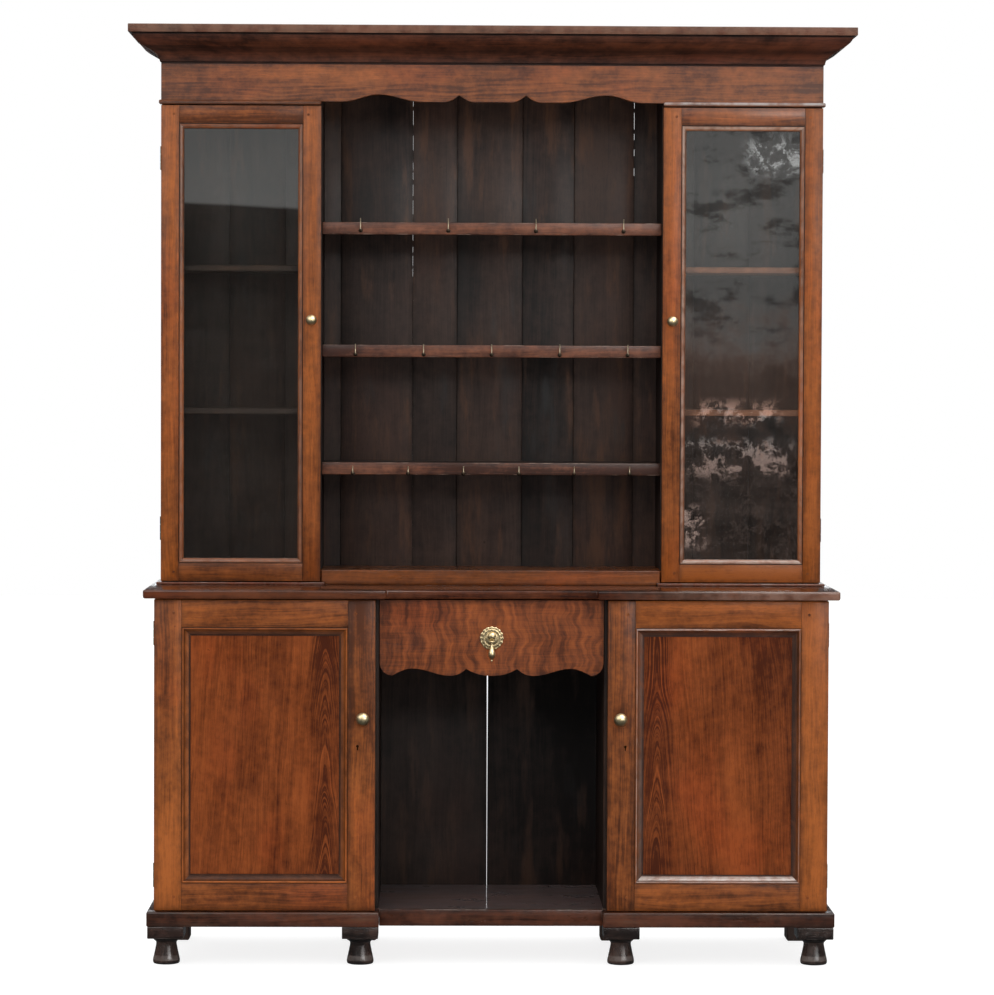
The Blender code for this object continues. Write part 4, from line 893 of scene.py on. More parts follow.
def repeat(name, tree, points, body, finish, sizes, tone=0.0):
    """Run a tree over points and keep the plain mesh."""
    mesh = bpy.data.meshes.new(name)
    mesh.from_pydata([Vector(point) + forward for point in points], [], [])
    obj = bpy.data.objects.new(name, mesh)
    bpy.context.scene.collection.objects.link(obj)
    modifier = obj.modifiers.new("nodes", "NODES")
    modifier.node_group = tree.group
    for key, value in sizes.items():
        modifier[tree.sockets[key]] = value
    modifier[tree.sockets["Finish"]] = finishes[finish]
    mesh = plain(obj)
    mark(mesh, name, "Y", None, tone, (0.2, 0.1), 0.0)
    edgeless(mesh)
    return settle(obj, body, finish)


# Pieces


def smoothed(profile, steps=4):
    """Points of a smooth curve through the profile, keeping its ends."""
    points = []
    last = len(profile) - 1
    for index in range(last):
        a, b = profile[max(index - 1, 0)], profile[index]
        c, d = profile[index + 1], profile[min(index + 2, last)]
        for step in range(steps):
            t = step / steps
            points.append(tuple(
                0.5 * (2 * q + (r - p) * t + (2 * p - 5 * q + 4 * r - s) * t * t
                       + (3 * q - p - 3 * r + s) * t ** 3)
                for p, q, r, s in zip(a, b, c, d)))
    points.append(profile[-1])
    return [(max(radius, 0.0), height) for radius, height in points]


def knob_shape(radius, projection):
    """Crown, waist and rose of a round knob, with dirt where cloth doesn't reach."""
    rose = 0.62
    shares = ((0, 1), (0.38, 0.965), (0.72, 0.87), (0.95, 0.70), (1, 0.56), (0.93, 0.44),
              (0.68, 0.33), (0.42, 0.26), (0.36, 0.17), (0.57, 0.10), (rose, 0.05))
    shape = smoothed([(radius * out, projection * up) for out, up in shares], 3)
    shape += [(radius * rose, gap), (0, gap)]
    ages = [(max(0.0, min(1.0, 1.1 - height / projection * 1.9)), 0.25) for _, height in shape]
    return shape, ages


class DRESSER_OT_finishes(bpy.types.Operator):
    """Make the oak, brass and glass that the pieces wear"""

    bl_idname = "dresser.finishes"
    bl_label = "Finishes"

    def execute(self, context):
        make_finishes()
        return {"FINISHED"}


class DRESSER_OT_feet(bpy.types.Operator):
    """Turned front feet under square blocks, and plain back feet"""

    bl_idname = "dresser.feet"
    bl_label = "Feet"

    def execute(self, context):
        block_height = 0.027
        # (radius, how far below the block) and (radius, height from the floor)
        collar = ((0.0270, gap), (0.0282, 0.0014), (0.0290, 0.0032), (0.0288, 0.0060),
                  (0.0262, 0.0084), (0.0238, 0.0110))
        vase = [(0.0232, 0.0455), (0.0240, 0.0400), (0.0262, 0.0290), (0.0286, 0.0180),
                (0.0302, 0.0110), (0.0306, 0.0065), (0.0300, 0.0026), (0.0284, 0.0006),
                (0.0262, 0.0)]
        for place in ("left", "mid_left", "mid_right", "right"):
            node = "front_foot_" + place
            low, high = laid(node)
            block_low = high.z - block_height
            board(node + "_block", "carcase", (low.x, high.x), (low.y, high.y),
                  (block_low, high.z), "X", "oak_foot", 0.002, segments=3, tone=-0.25)
            shape = smoothed([(out, block_low - down) for out, down in collar] + vase, 3)
            shape = [(0, block_low - gap)] + shape + [(0, 0.0)]
            # Darker next to the block and at the floor; a paler band round the bulge, partly
            # rubbing and partly painted highlight
            ages = [(0.9 if height > block_low - 0.011 or height < 0.004 else 0.15,
                     0.3 if 0.009 < height < 0.020 else 0.0) for _, height in shape]
            lathe(node + "_turning", "carcase", shape,
                  ((low.x + high.x) / 2, (low.y + high.y) / 2, 0), "Z", 64, "oak_foot",
                  ages, (node,), 50.0, tone=-0.1)
        for place in ("left", "mid_left", "mid_right", "right"):
            node_copy("back_foot_" + place, "oak_inside")
        return {"FINISHED"}


class DRESSER_OT_plinth(bpy.types.Operator):
    """The skirting, broken forward under the cupboards"""

    bl_idname = "dresser.plinth"
    bl_label = "Plinth"

    def execute(self, context):
        proud, broken_at, arris = 0.016, 0.254, 0.0035
        high, middle_high = 0.1215, 0.1255
        outer = half + proud
        for side, word in sides:
            board("plinth_front_" + word, "carcase", beside(side, broken_at + gap, outer),
                  (door_face - proud, -gap), (carcase_low, high), "X", "oak_plinth", arris,
                  segments=3, replaces=("plinth",) if side < 0 else ())
            board("plinth_return_" + word, "carcase", beside(side, half + gap, outer),
                  (gap, depth), (carcase_low, high), "Y", "oak_plinth", arris, segments=3,
                  tone=-0.1)
        board("plinth_middle", "carcase", (-broken_at, broken_at), (-proud, -gap),
              (carcase_low, middle_high), "X", "oak_plinth", 0.0016, tone=0.25)
        return {"FINISHED"}


class DRESSER_OT_carcase(bpy.types.Operator):
    """Sides, floor, kennel walls, shelves and the two back boards of the base"""

    bl_idname = "dresser.carcase"
    bl_label = "Base carcase"

    def execute(self, context):
        for side, word in sides:
            board("base_side_outer_" + word, "carcase", beside(side, side_inner, half),
                  (0, depth), (carcase_low, base_height - top_thickness - gap), ease=0.0014,
                  replaces=("base_side_" + word,), tone=-0.05)
            node_copy("kennel_wall_" + word, "oak_kennel", "Z", tone=-0.1)
            node_copy("base_shelf_" + word, "oak_inside", "X")
            self.back(side, word)
        node_copy("base_floor", "oak_floor", "X", tone=-0.1)
        return {"FINISHED"}

    def back(self, side, word):
        """One of the two back boards of the base, shrunk away from the other."""
        low, high = laid("base_back_" + word)
        far = low.x if side < 0 else high.x
        joint = -0.004
        outline = [(far, low.z), (joint + side * 0.0004, low.z),
                   (joint + side * 0.0008, (low.z + high.z) / 2),
                   (joint + side * 0.0020, high.z), (far, high.z)]
        # The right board is set darker than the left: painted shade
        put("base_back_board_" + word, slab(outline, (low.y, high.y)), "carcase", "oak_kennel",
            ease=0.0006, tone=0.15 if side < 0 else -0.22, replaces=("base_back_" + word,))


class DRESSER_OT_top(bpy.types.Operator):
    """The polished top, broken forward with the cupboards, and the strips under the rack"""

    bl_idname = "dresser.top"
    bl_label = "Base top"

    def execute(self, context):
        outer, broken_at, proud = half + 0.024, 0.240, 0.020
        flank = door_face - proud
        right = [(outer, depth), (outer, flank), (broken_at, flank), (broken_at, -proud)]
        outline = [(-x, y) for x, y in right] + right[::-1]
        bm = slab(outline, (base_height - top_thickness, base_height), "Z")
        mesh = put("base_top_board", bm, "carcase", "oak_top", "X", ease=0.0045, segments=4,
                   replaces=("base_top",), tone=0.22).data
        edge = min(vertex.co.y for vertex in mesh.vertices) + 0.006
        brim = max(vertex.co.z for vertex in mesh.vertices) - 0.0003

        def rubbed(point):
            """A painted sheen: the front edge over the right cupboard is paled."""
            here = point.x > broken_at + 0.01 and point.y < edge and point.z < brim
            return (0, 0.55) if here else (0, 0)

        age(mesh, rubbed)
        for _, word in sides:
            node_copy("rack_strip_" + word, "oak_strip", "X", tone=0.3)
        return {"FINISHED"}


class DRESSER_OT_base_doors(bpy.types.Operator):
    """Framed and panelled doors with a bead-and-hollow moulding, knobs and locks"""

    bl_idname = "dresser.base_doors"
    bl_label = "Base doors"

    def execute(self, context):
        # Tones of the frame and the panel, then the moulding's finish, how far its crests are
        # paled by rubbing and painted highlight, and the painted reflection in its hollows
        looks = (((-0.30, 0.10, -0.10, 0.03), 0.17, "oak_frame", (2.2, 1.2, 1.2, 1.2),
                  (0, 0.2, 0.1, 0.45)),
                 ((-0.20, 0.2, 0.06, 0.26), -0.12, "oak_moulding", (1.2, 0.6, 2.0, 1.3),
                  (0.85, 0, 0, 0.12)))
        inner = doors["base_door_"].inner
        for (side, word), (tones, tone, finish, wear_and_highlight, shine) in zip(sides, looks):
            body = "base_door_" + word
            name = body + "_"
            stations = door_frame("base_door_", side, word, "lock_stile", tones, -0.0133,
                                  cuts=(self.keyhole(side * (inner + 0.040), 0.498),))
            # The panel's figure opens on the side nearer the kennel
            node_copy(name + "panel", "oak_panel", pith=(-side * 0.137, 0.016), taper=0.085,
                      tone=tone)
            profile, ages = self.bead_and_hollow()
            moulding(name + "mouldings", body, stations, profile, finish, ages,
                     replaces=(name + "moulding",), tone=-0.15, wear_and_highlight=wear_and_highlight, shine=shine)
            knob, knob_ages = knob_shape(0.0155, 0.028)
            lathe(name + "knob_turning", body, knob,
                  (side * (inner + 0.0285), door_face, 0.560), ages=knob_ages,
                  replaces=(name + "knob",))
            self.lock(name, side, word, context.scene.dresser_brass.screw_radius)
        return {"FINISHED"}

    def keyhole(self, x, z):
        """A round hole with a slot below it, through the stile."""
        slot, radius, drop, steps = 0.0013, 0.003, 0.009, 16
        outline = [(x - slot, z - drop), (x + slot, z - drop)]
        start = math.asin(slot / radius) - math.pi / 2
        for step in range(steps + 1):
            turn = start + (math.pi - 2 * start) * step / steps
            outline.append((x + radius * math.cos(turn), z + radius * math.sin(turn)))
        return object_of("cutter", slab(outline, (-0.04, 0.02)))

    def bead_and_hollow(self):
        """(into the opening, toward the front), darker in the quirks, with painted shade in the
        hollow and paler crests, partly rubbing and partly painted highlight.
        """
        crest, bead, width, steps = 0.0137, 0.003, 0.0137, 8
        hollow_top, hollow_fall = 0.0101, 0.0083
        shape = [(0, 0), (0, crest - bead)]
        ages = [(1, 0), (1, 0)]
        for step in range(steps + 1):
            angle = math.pi * step / steps
            shape.append((bead - bead * math.cos(angle), crest - bead + bead * math.sin(angle)))
            ages.append((0.9 if step in (0, 1, 8) else 0.2, 0.35 if 3 < step < 6 else 0.0))
        for step in range(1, steps + 1):
            angle = math.pi / 2 * step / steps
            shape.append((2 * bead + width * (1 - math.cos(angle)),
                          hollow_top - hollow_fall * math.sin(angle)))
            # The hollow darkens toward the panel: painted shade
            ages.append((0.45 + 0.5 * step / steps, 0.0, 1.0 if 1 < step < 7 else 0.0))
        shape.append((2 * bead + width, 0))
        ages.append((1, 0))
        return shape, ages

    def lock(self, name, side, word, screw):
        """A cased lock on the stile's back, its bolt, and four slotted screws."""
        near, width, back, middle = 0.279, 0.046, 0.013, 0.498
        body = "base_door_" + word
        board(name + "lock_case", body, beside(side, near, near + width), (gap, back),
              (middle - 0.030, middle + 0.030), "X", "brass_dull")
        node_copy("lock_bolt_" + word, "brass_dull", "X")
        screws = [(side * (near + out), back, middle + up)
                  for out in (0.005, 0.041) for up in (-0.024, 0.024)]
        repeat(name + "lock_screws", studs, screws, body, "brass_dull",
               {"Radius": screw, "Rise": 0.0005, "Slot width": 0.0006,
                "Rotation": (-math.pi / 2, 0.0, 0.0)})


class DRESSER_OT_drawer(bpy.types.Operator):
    """The scalloped drawer front with curly figure, and the drawer's box"""

    bl_idname = "dresser.drawer"
    bl_label = "Drawer"

    def execute(self, context):
        node_copy("drawer_front", "oak_drawer", "X", pith=(0.02, 0.5), taper=0.001, tone=-0.04)
        for node in ("drawer_side_left", "drawer_side_right", "drawer_back", "drawer_bottom"):
            node_copy(node, "oak_inside", "Y" if "side" in node else "X", tone=0.5)
        return {"FINISHED"}


class DRESSER_OT_pull(bpy.types.Operator):
    """A lobed rosette, its boss, and a pear drop on a pin"""

    bl_idname = "dresser.pull"
    bl_label = "Drop pull"

    def execute(self, context):
        self.rosette()
        boss = smoothed([(0, 0.0090), (0.0045, 0.0082), (0.0080, 0.0060), (0.0098, 0.0030),
                         (0.0102, 0.0014)]) + [(0.0102, 0.0004), (0, 0.0004)]
        lathe("drawer_pull_boss", "drawer", boss, (0, -gap, rosette_height + 0.0045),
              ages=[(0.7 if height < 0.0025 else 0.0, 0.4) for _, height in boss])
        pin_z = rosette_height - 0.008
        for side, word in sides:
            board("drawer_pull_ear_" + word, "drawer", beside(side, 0.0030, 0.0052),
                  (-0.0130, -0.0012), (pin_z - 0.0022, pin_z + 0.0022), "X", "brass", 0.0006)
        lathe("drawer_pull_pin", "drawer", [(0, 0.0041), (0.0011, 0.0041), (0.0011, -0.0041),
                                            (0, -0.0041)], (0, pin_y, pin_z), "X", 16)
        drop = [(0.0018, -0.0024), (0.0020, -0.0040), (0.0028, -0.0090), (0.0046, -0.0150),
                (0.0070, -0.0210), (0.0084, -0.0262), (0.0083, -0.0305), (0.0064, -0.0350),
                (0.0036, -0.0378), (0.0018, -0.0393), (0.0023, -0.0412), (0.0025, -0.0428),
                (0.0015, -0.0444), (0.0004, -0.0449)]
        shape = [(0, -0.0022)] + smoothed(drop) + [(0, -0.0450)]
        ages = [(0.6 if height > -0.006 or -0.0412 < height < -0.0376 else 0.0, 0.3)
                for _, height in shape]
        lathe("drawer_pull_pear", "pull_drop", shape, (0, pin_y, pin_z), "Z", 40, ages=ages,
              replaces=("drawer_pull_drop",))
        self.eye(pin_z)
        return {"FINISHED"}

    def rosette(self):
        """Round lobes round a dished plate with a raised ring."""
        lobes, radius, dip = 16, 0.027, 0.0014
        steps = lobes * 8
        bm = bmesh.new()
        marks = bm.verts.layers.float_vector.new("age")
        # (share of the radius, height)
        shares = ((0.0, 0.0036), (0.38, 0.0035), (0.48, 0.0028), (0.55, 0.0019),
                  (0.62, 0.0021), (0.70, 0.0027), (0.78, 0.0023), (0.84, 0.0017),
                  (0.90, 0.0021), (0.96, 0.0019), (1.0, 0.0010), (1.0, 0.0))
        rings = []
        for share, height in shares:
            ring = []
            for step in range(1 if share == 0 else steps):
                turn = 2 * math.pi * step / steps
                notch = (1 - math.cos(lobes * turn)) / 2
                reach = (radius - dip * notch * max(0.0, (share - 0.5) * 2)) * share
                lift = height - (dip / 2 * notch if 0.80 < share < 0.99 else 0)
                vertex = bm.verts.new((reach * math.cos(turn), -gap - lift,
                                       rosette_height + reach * math.sin(turn)))
                vertex[marks] = (0.9 if share in (0.55, 0.84) else 0.15, 0.2, 0)
                ring.append(vertex)
            rings.append(ring)
        join_rings(bm, rings)
        bm.faces.new(rings[-1])
        bmesh.ops.recalc_face_normals(bm, faces=bm.faces)
        put("drawer_pull_plate", bm, "drawer", "brass", angle=50,
            replaces=("drawer_pull_rosette",))

    def eye(self, z):
        """The ring at the drop's top, that the pin goes through."""
        profile = [(0.0030, 0.0022), (0.0030, -0.0022), (0.0026, -0.0025), (0.0015, -0.0025),
                   (0.0015, 0.0025), (0.0026, 0.0025)]
        steps = 24
        bm = bmesh.new()
        rings = []
        for step in range(steps):
            turn = 2 * math.pi * step / steps
            rings.append([bm.verts.new((x, pin_y + radius * math.cos(turn),
                                        z + radius * math.sin(turn)))
                          for radius, x in profile])
        join_rings(bm, rings + rings[:1])
        bmesh.ops.recalc_face_normals(bm, faces=bm.faces)
        put("drawer_pull_eye", bm, "pull_drop", "brass")


class DRESSER_OT_rack(bpy.types.Operator):
    """Sides, partitions, roof, floor and shelves of the rack"""

    bl_idname = "dresser.rack"
    bl_label = "Rack carcase"

    def execute(self, context):
        side_low, side_high = 0.8596, 2.0557
        # The cupboards' shelves are alike, but the right ones are given the paler ledge oak:
        # painted light
        for (side, word), shelf_finish in zip(sides, ("oak_inside", "oak_ledge")):
            board("rack_side_outer_" + word, "carcase", beside(side, side_inner, half),
                  (rack_front, depth), (side_low, side_high),
                  replaces=("rack_side_" + word,), tone=-0.05)
            node_copy("rack_partition_" + word, "oak_inside")
            for level in ("lower", "upper"):
                node_copy("cupboard_shelf_%s_%s" % (level, word), shelf_finish, "X", tone=0.5)
        node_copy("rack_roof", "oak_inside", "X")
        node_copy("rack_floor", "oak_glazing", "X", tone=0.03)
        return {"FINISHED"}


class DRESSER_OT_back_boards(bpy.types.Operator):
    """Upright lapped boards behind the plates; two of their joints have split open"""

    bl_idname = "dresser.back_boards"
    bl_label = "Back boards"

    def execute(self, context):
        edge, tongue, thickness = 0.7547, 0.006, 0.012
        face, lap = depth - thickness, depth - thickness / 2
        # Each joint's place as a share of the edge, and each board's tone
        shares = (-1, -0.82, -0.645, -0.47, -0.245, -0.105, 0.100, 0.262, 0.450, 0.640, 0.815, 1)
        tones = (0, 0.05, 0.08, 0.0, 0.05, 0.12, 0.02, 0.15, 0.05, 0.0, 0.0)
        # Half the width of a joint and how far up it holds: the two split ones, and the rest
        splits = {4: (0.00024, 0.60), 8: (0.0006, 0.80)}
        closed = (0.0006, 1)
        for index, (near, far) in enumerate(zip(shares, shares[1:])):
            left = near * edge + splits.get(index, closed)[0]
            right = far * edge - splits.get(index + 1, closed)[0]
            outline = [(left, face), (right, face), (right, lap)]
            if index < len(tones) - 1 and index + 1 not in splits:
                outline += [(right + tongue, lap), (right + tongue, depth)]
            else:
                outline += [(right, depth)]
            if index and index not in splits:
                rebate = left + tongue + 0.0002
                outline += [(rebate, depth), (rebate, lap - gap), (left, lap - gap)]
            else:
                outline += [(left, depth)]
            chance = random.Random(index)
            put("back_board_" + str(index + 1), slab(outline, (rack_low, rack_high), "Z"),
                "carcase", "oak_inside", ease=0.0009, tone=tones[index],
                pith=(chance.uniform(-0.06, 0.06), 0.03), taper=chance.uniform(0.01, 0.03),
                box=((left, face, rack_low), (right, depth, rack_high)),
                replaces=("rack_back",) if index == 0 else ())
        for number, (width, held) in splits.items():
            self.splinters(shares[number] * edge, width - 0.00005, held, number)
        return {"FINISHED"}

    def splinters(self, x, reach, held, number):
        """What still bridges a split joint: all of it below, and slivers of it above."""
        def sliver(word, low, high, tone):
            board("back_tongue_%d_%s" % (number, word), "carcase", (x - reach, x + reach),
                  (depth - 0.009, depth - 0.004), (low, high), finish="oak_inside", ease=0.0,
                  tone=tone)

        chance = random.Random(number)
        start, end = rack_low, rack_low + (rack_high - rack_low) * held
        count = 1
        while end < rack_high - 0.02:
            sliver(str(count), start, end, -0.1)
            start = end + chance.uniform(0.012, 0.040)
            end = start + chance.uniform(0.004, 0.030)
            count += 1
        sliver("top", start, rack_high, 0.0)


class DRESSER_OT_plate_shelves(bpy.types.Operator):
    """Plate shelves with deep front edges, their plate grooves and dresser hooks"""

    bl_idname = "dresser.plate_shelves"
    bl_label = "Plate shelves"

    def execute(self, context):
        # Level, tone of its edge, then its hooks: how many, their margin as a share of the
        # bay, how far below the top they sit and how far they rise
        rows = (("lower", -0.28, 6, 0.092, 0.0255, 0.0165),
                ("middle", -0.12, 5, 0.099, 0.022, 0.023),
                ("upper", 0.15, 4, 0.113, 0.019, 0.027))
        metal = context.scene.dresser_brass
        shelf_front, edge_depth, edge_height = rack_front + 0.004, 0.018, 0.028
        thickness, board_half, board_back = 0.016, 0.3997, 0.3937
        groove_half, groove, groove_depth = 0.384, (0.252, 0.258), 0.0015

        def dirty_root(point):
            """A hook is dirty where it leaves the wood."""
            return (1 if point.y > shelf_front + front - 0.003 else 0), 0

        for level, edge_tone, count, margin, drop, rise in rows:
            node = "plate_shelf_" + level
            top = laid(node)[0].z + edge_height
            cutter = object_of("cutter", block((-groove_half, groove_half), groove,
                                               (top - groove_depth, top + 0.01)))
            board(node + "_board", "carcase", (-board_half, board_half),
                  (shelf_front + edge_depth + gap, board_back), (top - thickness, top), "X",
                  "oak_inside", 0.001, tone=0.2, cuts=(cutter,), replaces=(node,))
            board(node + "_edge", "carcase", (gap - bay_half, bay_half - gap),
                  (shelf_front, shelf_front + edge_depth), (top - edge_height, top), "X",
                  "oak_shelf", 0.002, segments=3, tone=edge_tone)
            reach = bay_half - 2 * bay_half * margin
            points = [(-reach + 2 * reach * number / (count - 1), shelf_front, top - drop)
                      for number in range(count)]
            obj = repeat(node + "_hooks", hooks, points, "carcase", "brass_hook",
                         {"Wire radius": metal.hook_wire, "Reach": metal.hook_reach,
                          "Rise": rise, "Bend radius": 0.004})
            age(obj.data, dirty_root)
        return {"FINISHED"}


class DRESSER_OT_frieze(bpy.types.Operator):
    """The shaped frieze with its beads, and the crown moulding above"""

    bl_idname = "dresser.frieze"
    bl_label = "Frieze and cornice"

    def execute(self, context):
        mesh = node_copy("frieze", "oak_frieze", "X", pith=(0.03, 0.05), taper=0.015,
                         tone=-0.22).data
        brink = min(vertex.co.y for vertex in mesh.vertices) + 0.003
        heights = [vertex.co.z for vertex in mesh.vertices if vertex.co.y < brink]
        middle = (min(heights) + max(heights)) / 2

        def beads(point):
            """Painted shade lies under both beads, and a painted highlight pales the right one's
            top.
            """
            if point.y >= brink:
                return 0, 0
            if point.z < middle:
                return 0.5, 0
            return 0, (0.9 if point.x > 0 else 0)

        age(mesh, beads)
        # From the left end at the back, round both front corners, to the right end
        stations = [corner for side in (-1, 1) for corner in self.corners(side)[::side]]
        profile, ages = self.crown()
        moulding("cornice_moulding", "carcase", stations, profile, "oak_crown", ages, False,
                 ("cornice",), tone=0.05, steps=24)
        return {"FINISHED"}

    def corners(self, side):
        """The front mitre and the back end of the crown moulding on one side."""
        return [lambda out, up: (side * (half + out), rack_face - out, up),
                lambda out, up: (side * (half + out), depth, up)]

    def crown(self):
        """(out from the carcase, height): a step, a wave and a fillet over it."""
        low, high, outer, back, step_out, steps = 2.056, 2.141, 0.071, -0.018, 0.003, 24
        fillet, base = high - 0.0185, low + 0.005
        shape = [(back, low), (0, low), (0, base - 0.0015), (step_out, base)]
        # Darker at the step, in a band across the middle of the wave and under the fillet:
        # painted shade. The fillet's edges are paler, partly rubbing and partly painted highlight
        ages = [(0, 0), (0.6, 0), (0.9, 0), (0.6, 0)]
        for step in range(1, steps + 1):
            share = step / steps
            sweep = share - 0.85 * math.sin(2 * math.pi * share) / (2 * math.pi)
            shape.append((step_out + 0.059 * sweep, base + (fillet - base) * share))
            darkening = 0.5 * math.exp(-((share - 0.42) / 0.12) ** 2)
            ages.append((0.9 if step > 22 else darkening, 0))
        shape += [(outer - 0.0012, fillet), (outer - 0.0003, fillet + 0.0004),
                  (outer, fillet + 0.0014), (outer, high - 0.0014),
                  (outer - 0.0004, high - 0.0004), (outer - 0.0014, high), (back, high)]
        ages += [(0.5, 0), (0, 0.5), (0, 0.3), (0, 0.3), (0, 0.6), (0.2, 0.3), (0.9, 0)]
        return shape, ages


class DRESSER_OT_glazed_doors(bpy.types.Operator):
    """Glazed doors: stiles, rails, glazing moulding, old glass, knob and turn catch"""

    bl_idname = "dresser.glazed_doors"
    bl_label = "Glazed doors"

    def execute(self, context):
        # Tones and top rail of the frame, then how far the moulding's crests are paled by rubbing
        # and painted highlight, and how the glass wavers
        looks = (((-0.04, 0.02, 0.30, -0.26), "oak_frame", (0.5, 0.5, 0.5, 0.5), 0.00001),
                 ((0.10, 0.02, 0.42, 0.0), "oak_frieze", (2.0, 0.8, 2.2, 1.6), 0.00004))
        for (side, word), (tones, top, wear_and_highlight, waver) in zip(sides, looks):
            body = "glazed_door_" + word
            stations = door_frame("glazed_door_", side, word, "catch_stile", tones,
                                  doors["glazed_door_"].back, top)
            profile, ages = self.glazing()
            moulding(body + "_glazing", body, stations, profile, "oak_glazing", ages,
                     tone=-0.05, wear_and_highlight=wear_and_highlight)
            self.pane(body, side, waver)
            self.catch(body, side, "turn_catch_" + word)
        return {"FINISHED"}

    def pane(self, body, side, waver):
        """A pane whose faces wander a few hundredths of a millimetre, more on the right."""
        low, high = laid(body + "_glass")
        columns, rows = 24, 88
        bm = bmesh.new()
        grids = []
        for depth_share in (0, 1):
            grid = []
            for row in range(rows + 1):
                line = []
                for column in range(columns + 1):
                    x = low.x + (high.x - low.x) * column / columns
                    z = low.z + (high.z - low.z) * row / rows
                    wave = noise.noise(Vector((x * 9, side * 3, z * 5)))
                    wave += 0.5 * noise.noise(Vector((x * 24, side * 5, z * 9)))
                    inside = min(column, columns - column, row, rows - row) > 0
                    y = low.y + (high.y - low.y) * depth_share + (waver * wave if inside else 0)
                    line.append(bm.verts.new((x, y, z)))
                grid.append(line)
            for near, far in zip(grid, grid[1:]):
                for column in range(columns):
                    bm.faces.new((near[column], near[column + 1], far[column + 1], far[column]))
            grids.append(grid)
        rims = [grid[0] + [line[-1] for line in grid[1:]] + grid[-1][-2::-1]
                + [line[0] for line in grid[-2:0:-1]] for grid in grids]
        for index in range(len(rims[0])):
            bm.faces.new((rims[0][index - 1], rims[0][index], rims[1][index],
                          rims[1][index - 1]))
        bmesh.ops.recalc_face_normals(bm, faces=bm.faces)
        put(body + "_pane", bm, body, "glass", replaces=(body + "_glass",))

    def glazing(self):
        """The ovolo round the glass: quirk, round, a step down and the rebate behind it."""
        total, steps = 0.0217, 10
        quirk, crest = total - 0.0030, total - 0.0006
        step_down, rebate, width = total - 0.0098, 0.0057, 0.0117
        shape = [(0, 0), (0, quirk), (0.0012, quirk), (0.0018, crest)]
        # The round's front is paler, partly rubbing and partly painted highlight, and it darkens
        # where it falls to the glass
        ages = [(0, 0), (1, 0), (1, 0), (0.3, 0.2)]
        for step in range(1, steps + 1):
            angle = math.pi / 2 * step / steps
            shape.append((0.0018 + 0.0099 * math.sin(angle),
                          crest - 0.0068 * (1 - math.cos(angle))))
            ages.append((0.1 if step < 8 else 0.6, 0.35 if step < 5 else 0.1))
        shape += [(width, step_down), (rebate, step_down), (rebate, 0)]
        ages += [(1, 0)] * 3
        return shape, ages

    def catch(self, body, side, moving):
        """A knob on a spindle through the stile, and the tongue that it turns."""
        x, z, spindle, inner_end = side * 0.4175, 1.466, 0.0034, -0.0305
        knob, ages = knob_shape(0.0125, 0.025)
        knob = knob[:-1] + [(spindle, gap), (spindle, inner_end), (0, inner_end)]
        ages = ages[:-1] + [(0.8, 0)] * 3
        lathe(body + "_catch_knob", moving, knob, (x, rack_face, z), ages=ages,
              replaces=(body + "_catch",))
        board(body + "_catch_tongue", moving, (x - 0.005, x + 0.005), (0.200, 0.2025),
              (z - 0.015, z + 0.005), finish="brass_dull", ease=0.0006)


class DRESSER_OT_hinges(bpy.types.Operator):
    """The knuckles of brass butt hinges, the middle one on the door"""

    bl_idname = "dresser.hinges"
    bl_label = "Hinges"

    def execute(self, context):
        knuckle, step = 0.018, 0.0184
        for start, door in doors.items():
            y = door.back + gap / 2
            offset = (door.high - door.low) * 0.11
            for side, word in sides:
                x = side * (half + 0.0004)
                parts = (("_mid", start + word, 0.0), ("_bottom", "carcase", -step),
                         ("_top", "carcase", step))
                for level, z in (("low", door.low + offset), ("high", door.high - offset)):
                    for part, body, up in parts:
                        self.knuckle(start + word + "_hinge_" + level + part, body, (x, y, 0),
                                     z + up - knuckle / 2, z + up + knuckle / 2)
        return {"FINISHED"}

    def knuckle(self, name, body, place, low, high):
        upper = [(0, high), (0.0024, high), (0.0029, high - 0.0005), (0.0030, high - 0.001)]
        shape = upper + [(radius, low + high - z) for radius, z in upper[::-1]]
        lathe(name, body, shape, place, "Z", 20, "brass_dark", [(0.4, 0.0)] * len(shape))


class DRESSER_OT_pegs(bpy.types.Operator):
    """Peg ends in the door joints"""

    bl_idname = "dresser.pegs"
    bl_label = "Pegs"

    def execute(self, context):
        for side, word in sides:
            for start, door in doors.items():
                points = [(side * x, door.face, z)
                          for x in (door.inner + door.stile * 0.72, half - door.stile * 0.72)
                          for z in (door.low + door.stile / 2, door.high - door.stile / 2)]
                repeat(start + word + "_pegs", studs, points, start + word, "oak_frame",
                       {"Radius": 0.0032, "Rise": 0.00025, "Slot width": 0.0,
                        "Rotation": (math.pi / 2, 0.0, 0.0)}, -0.12)
        return {"FINISHED"}


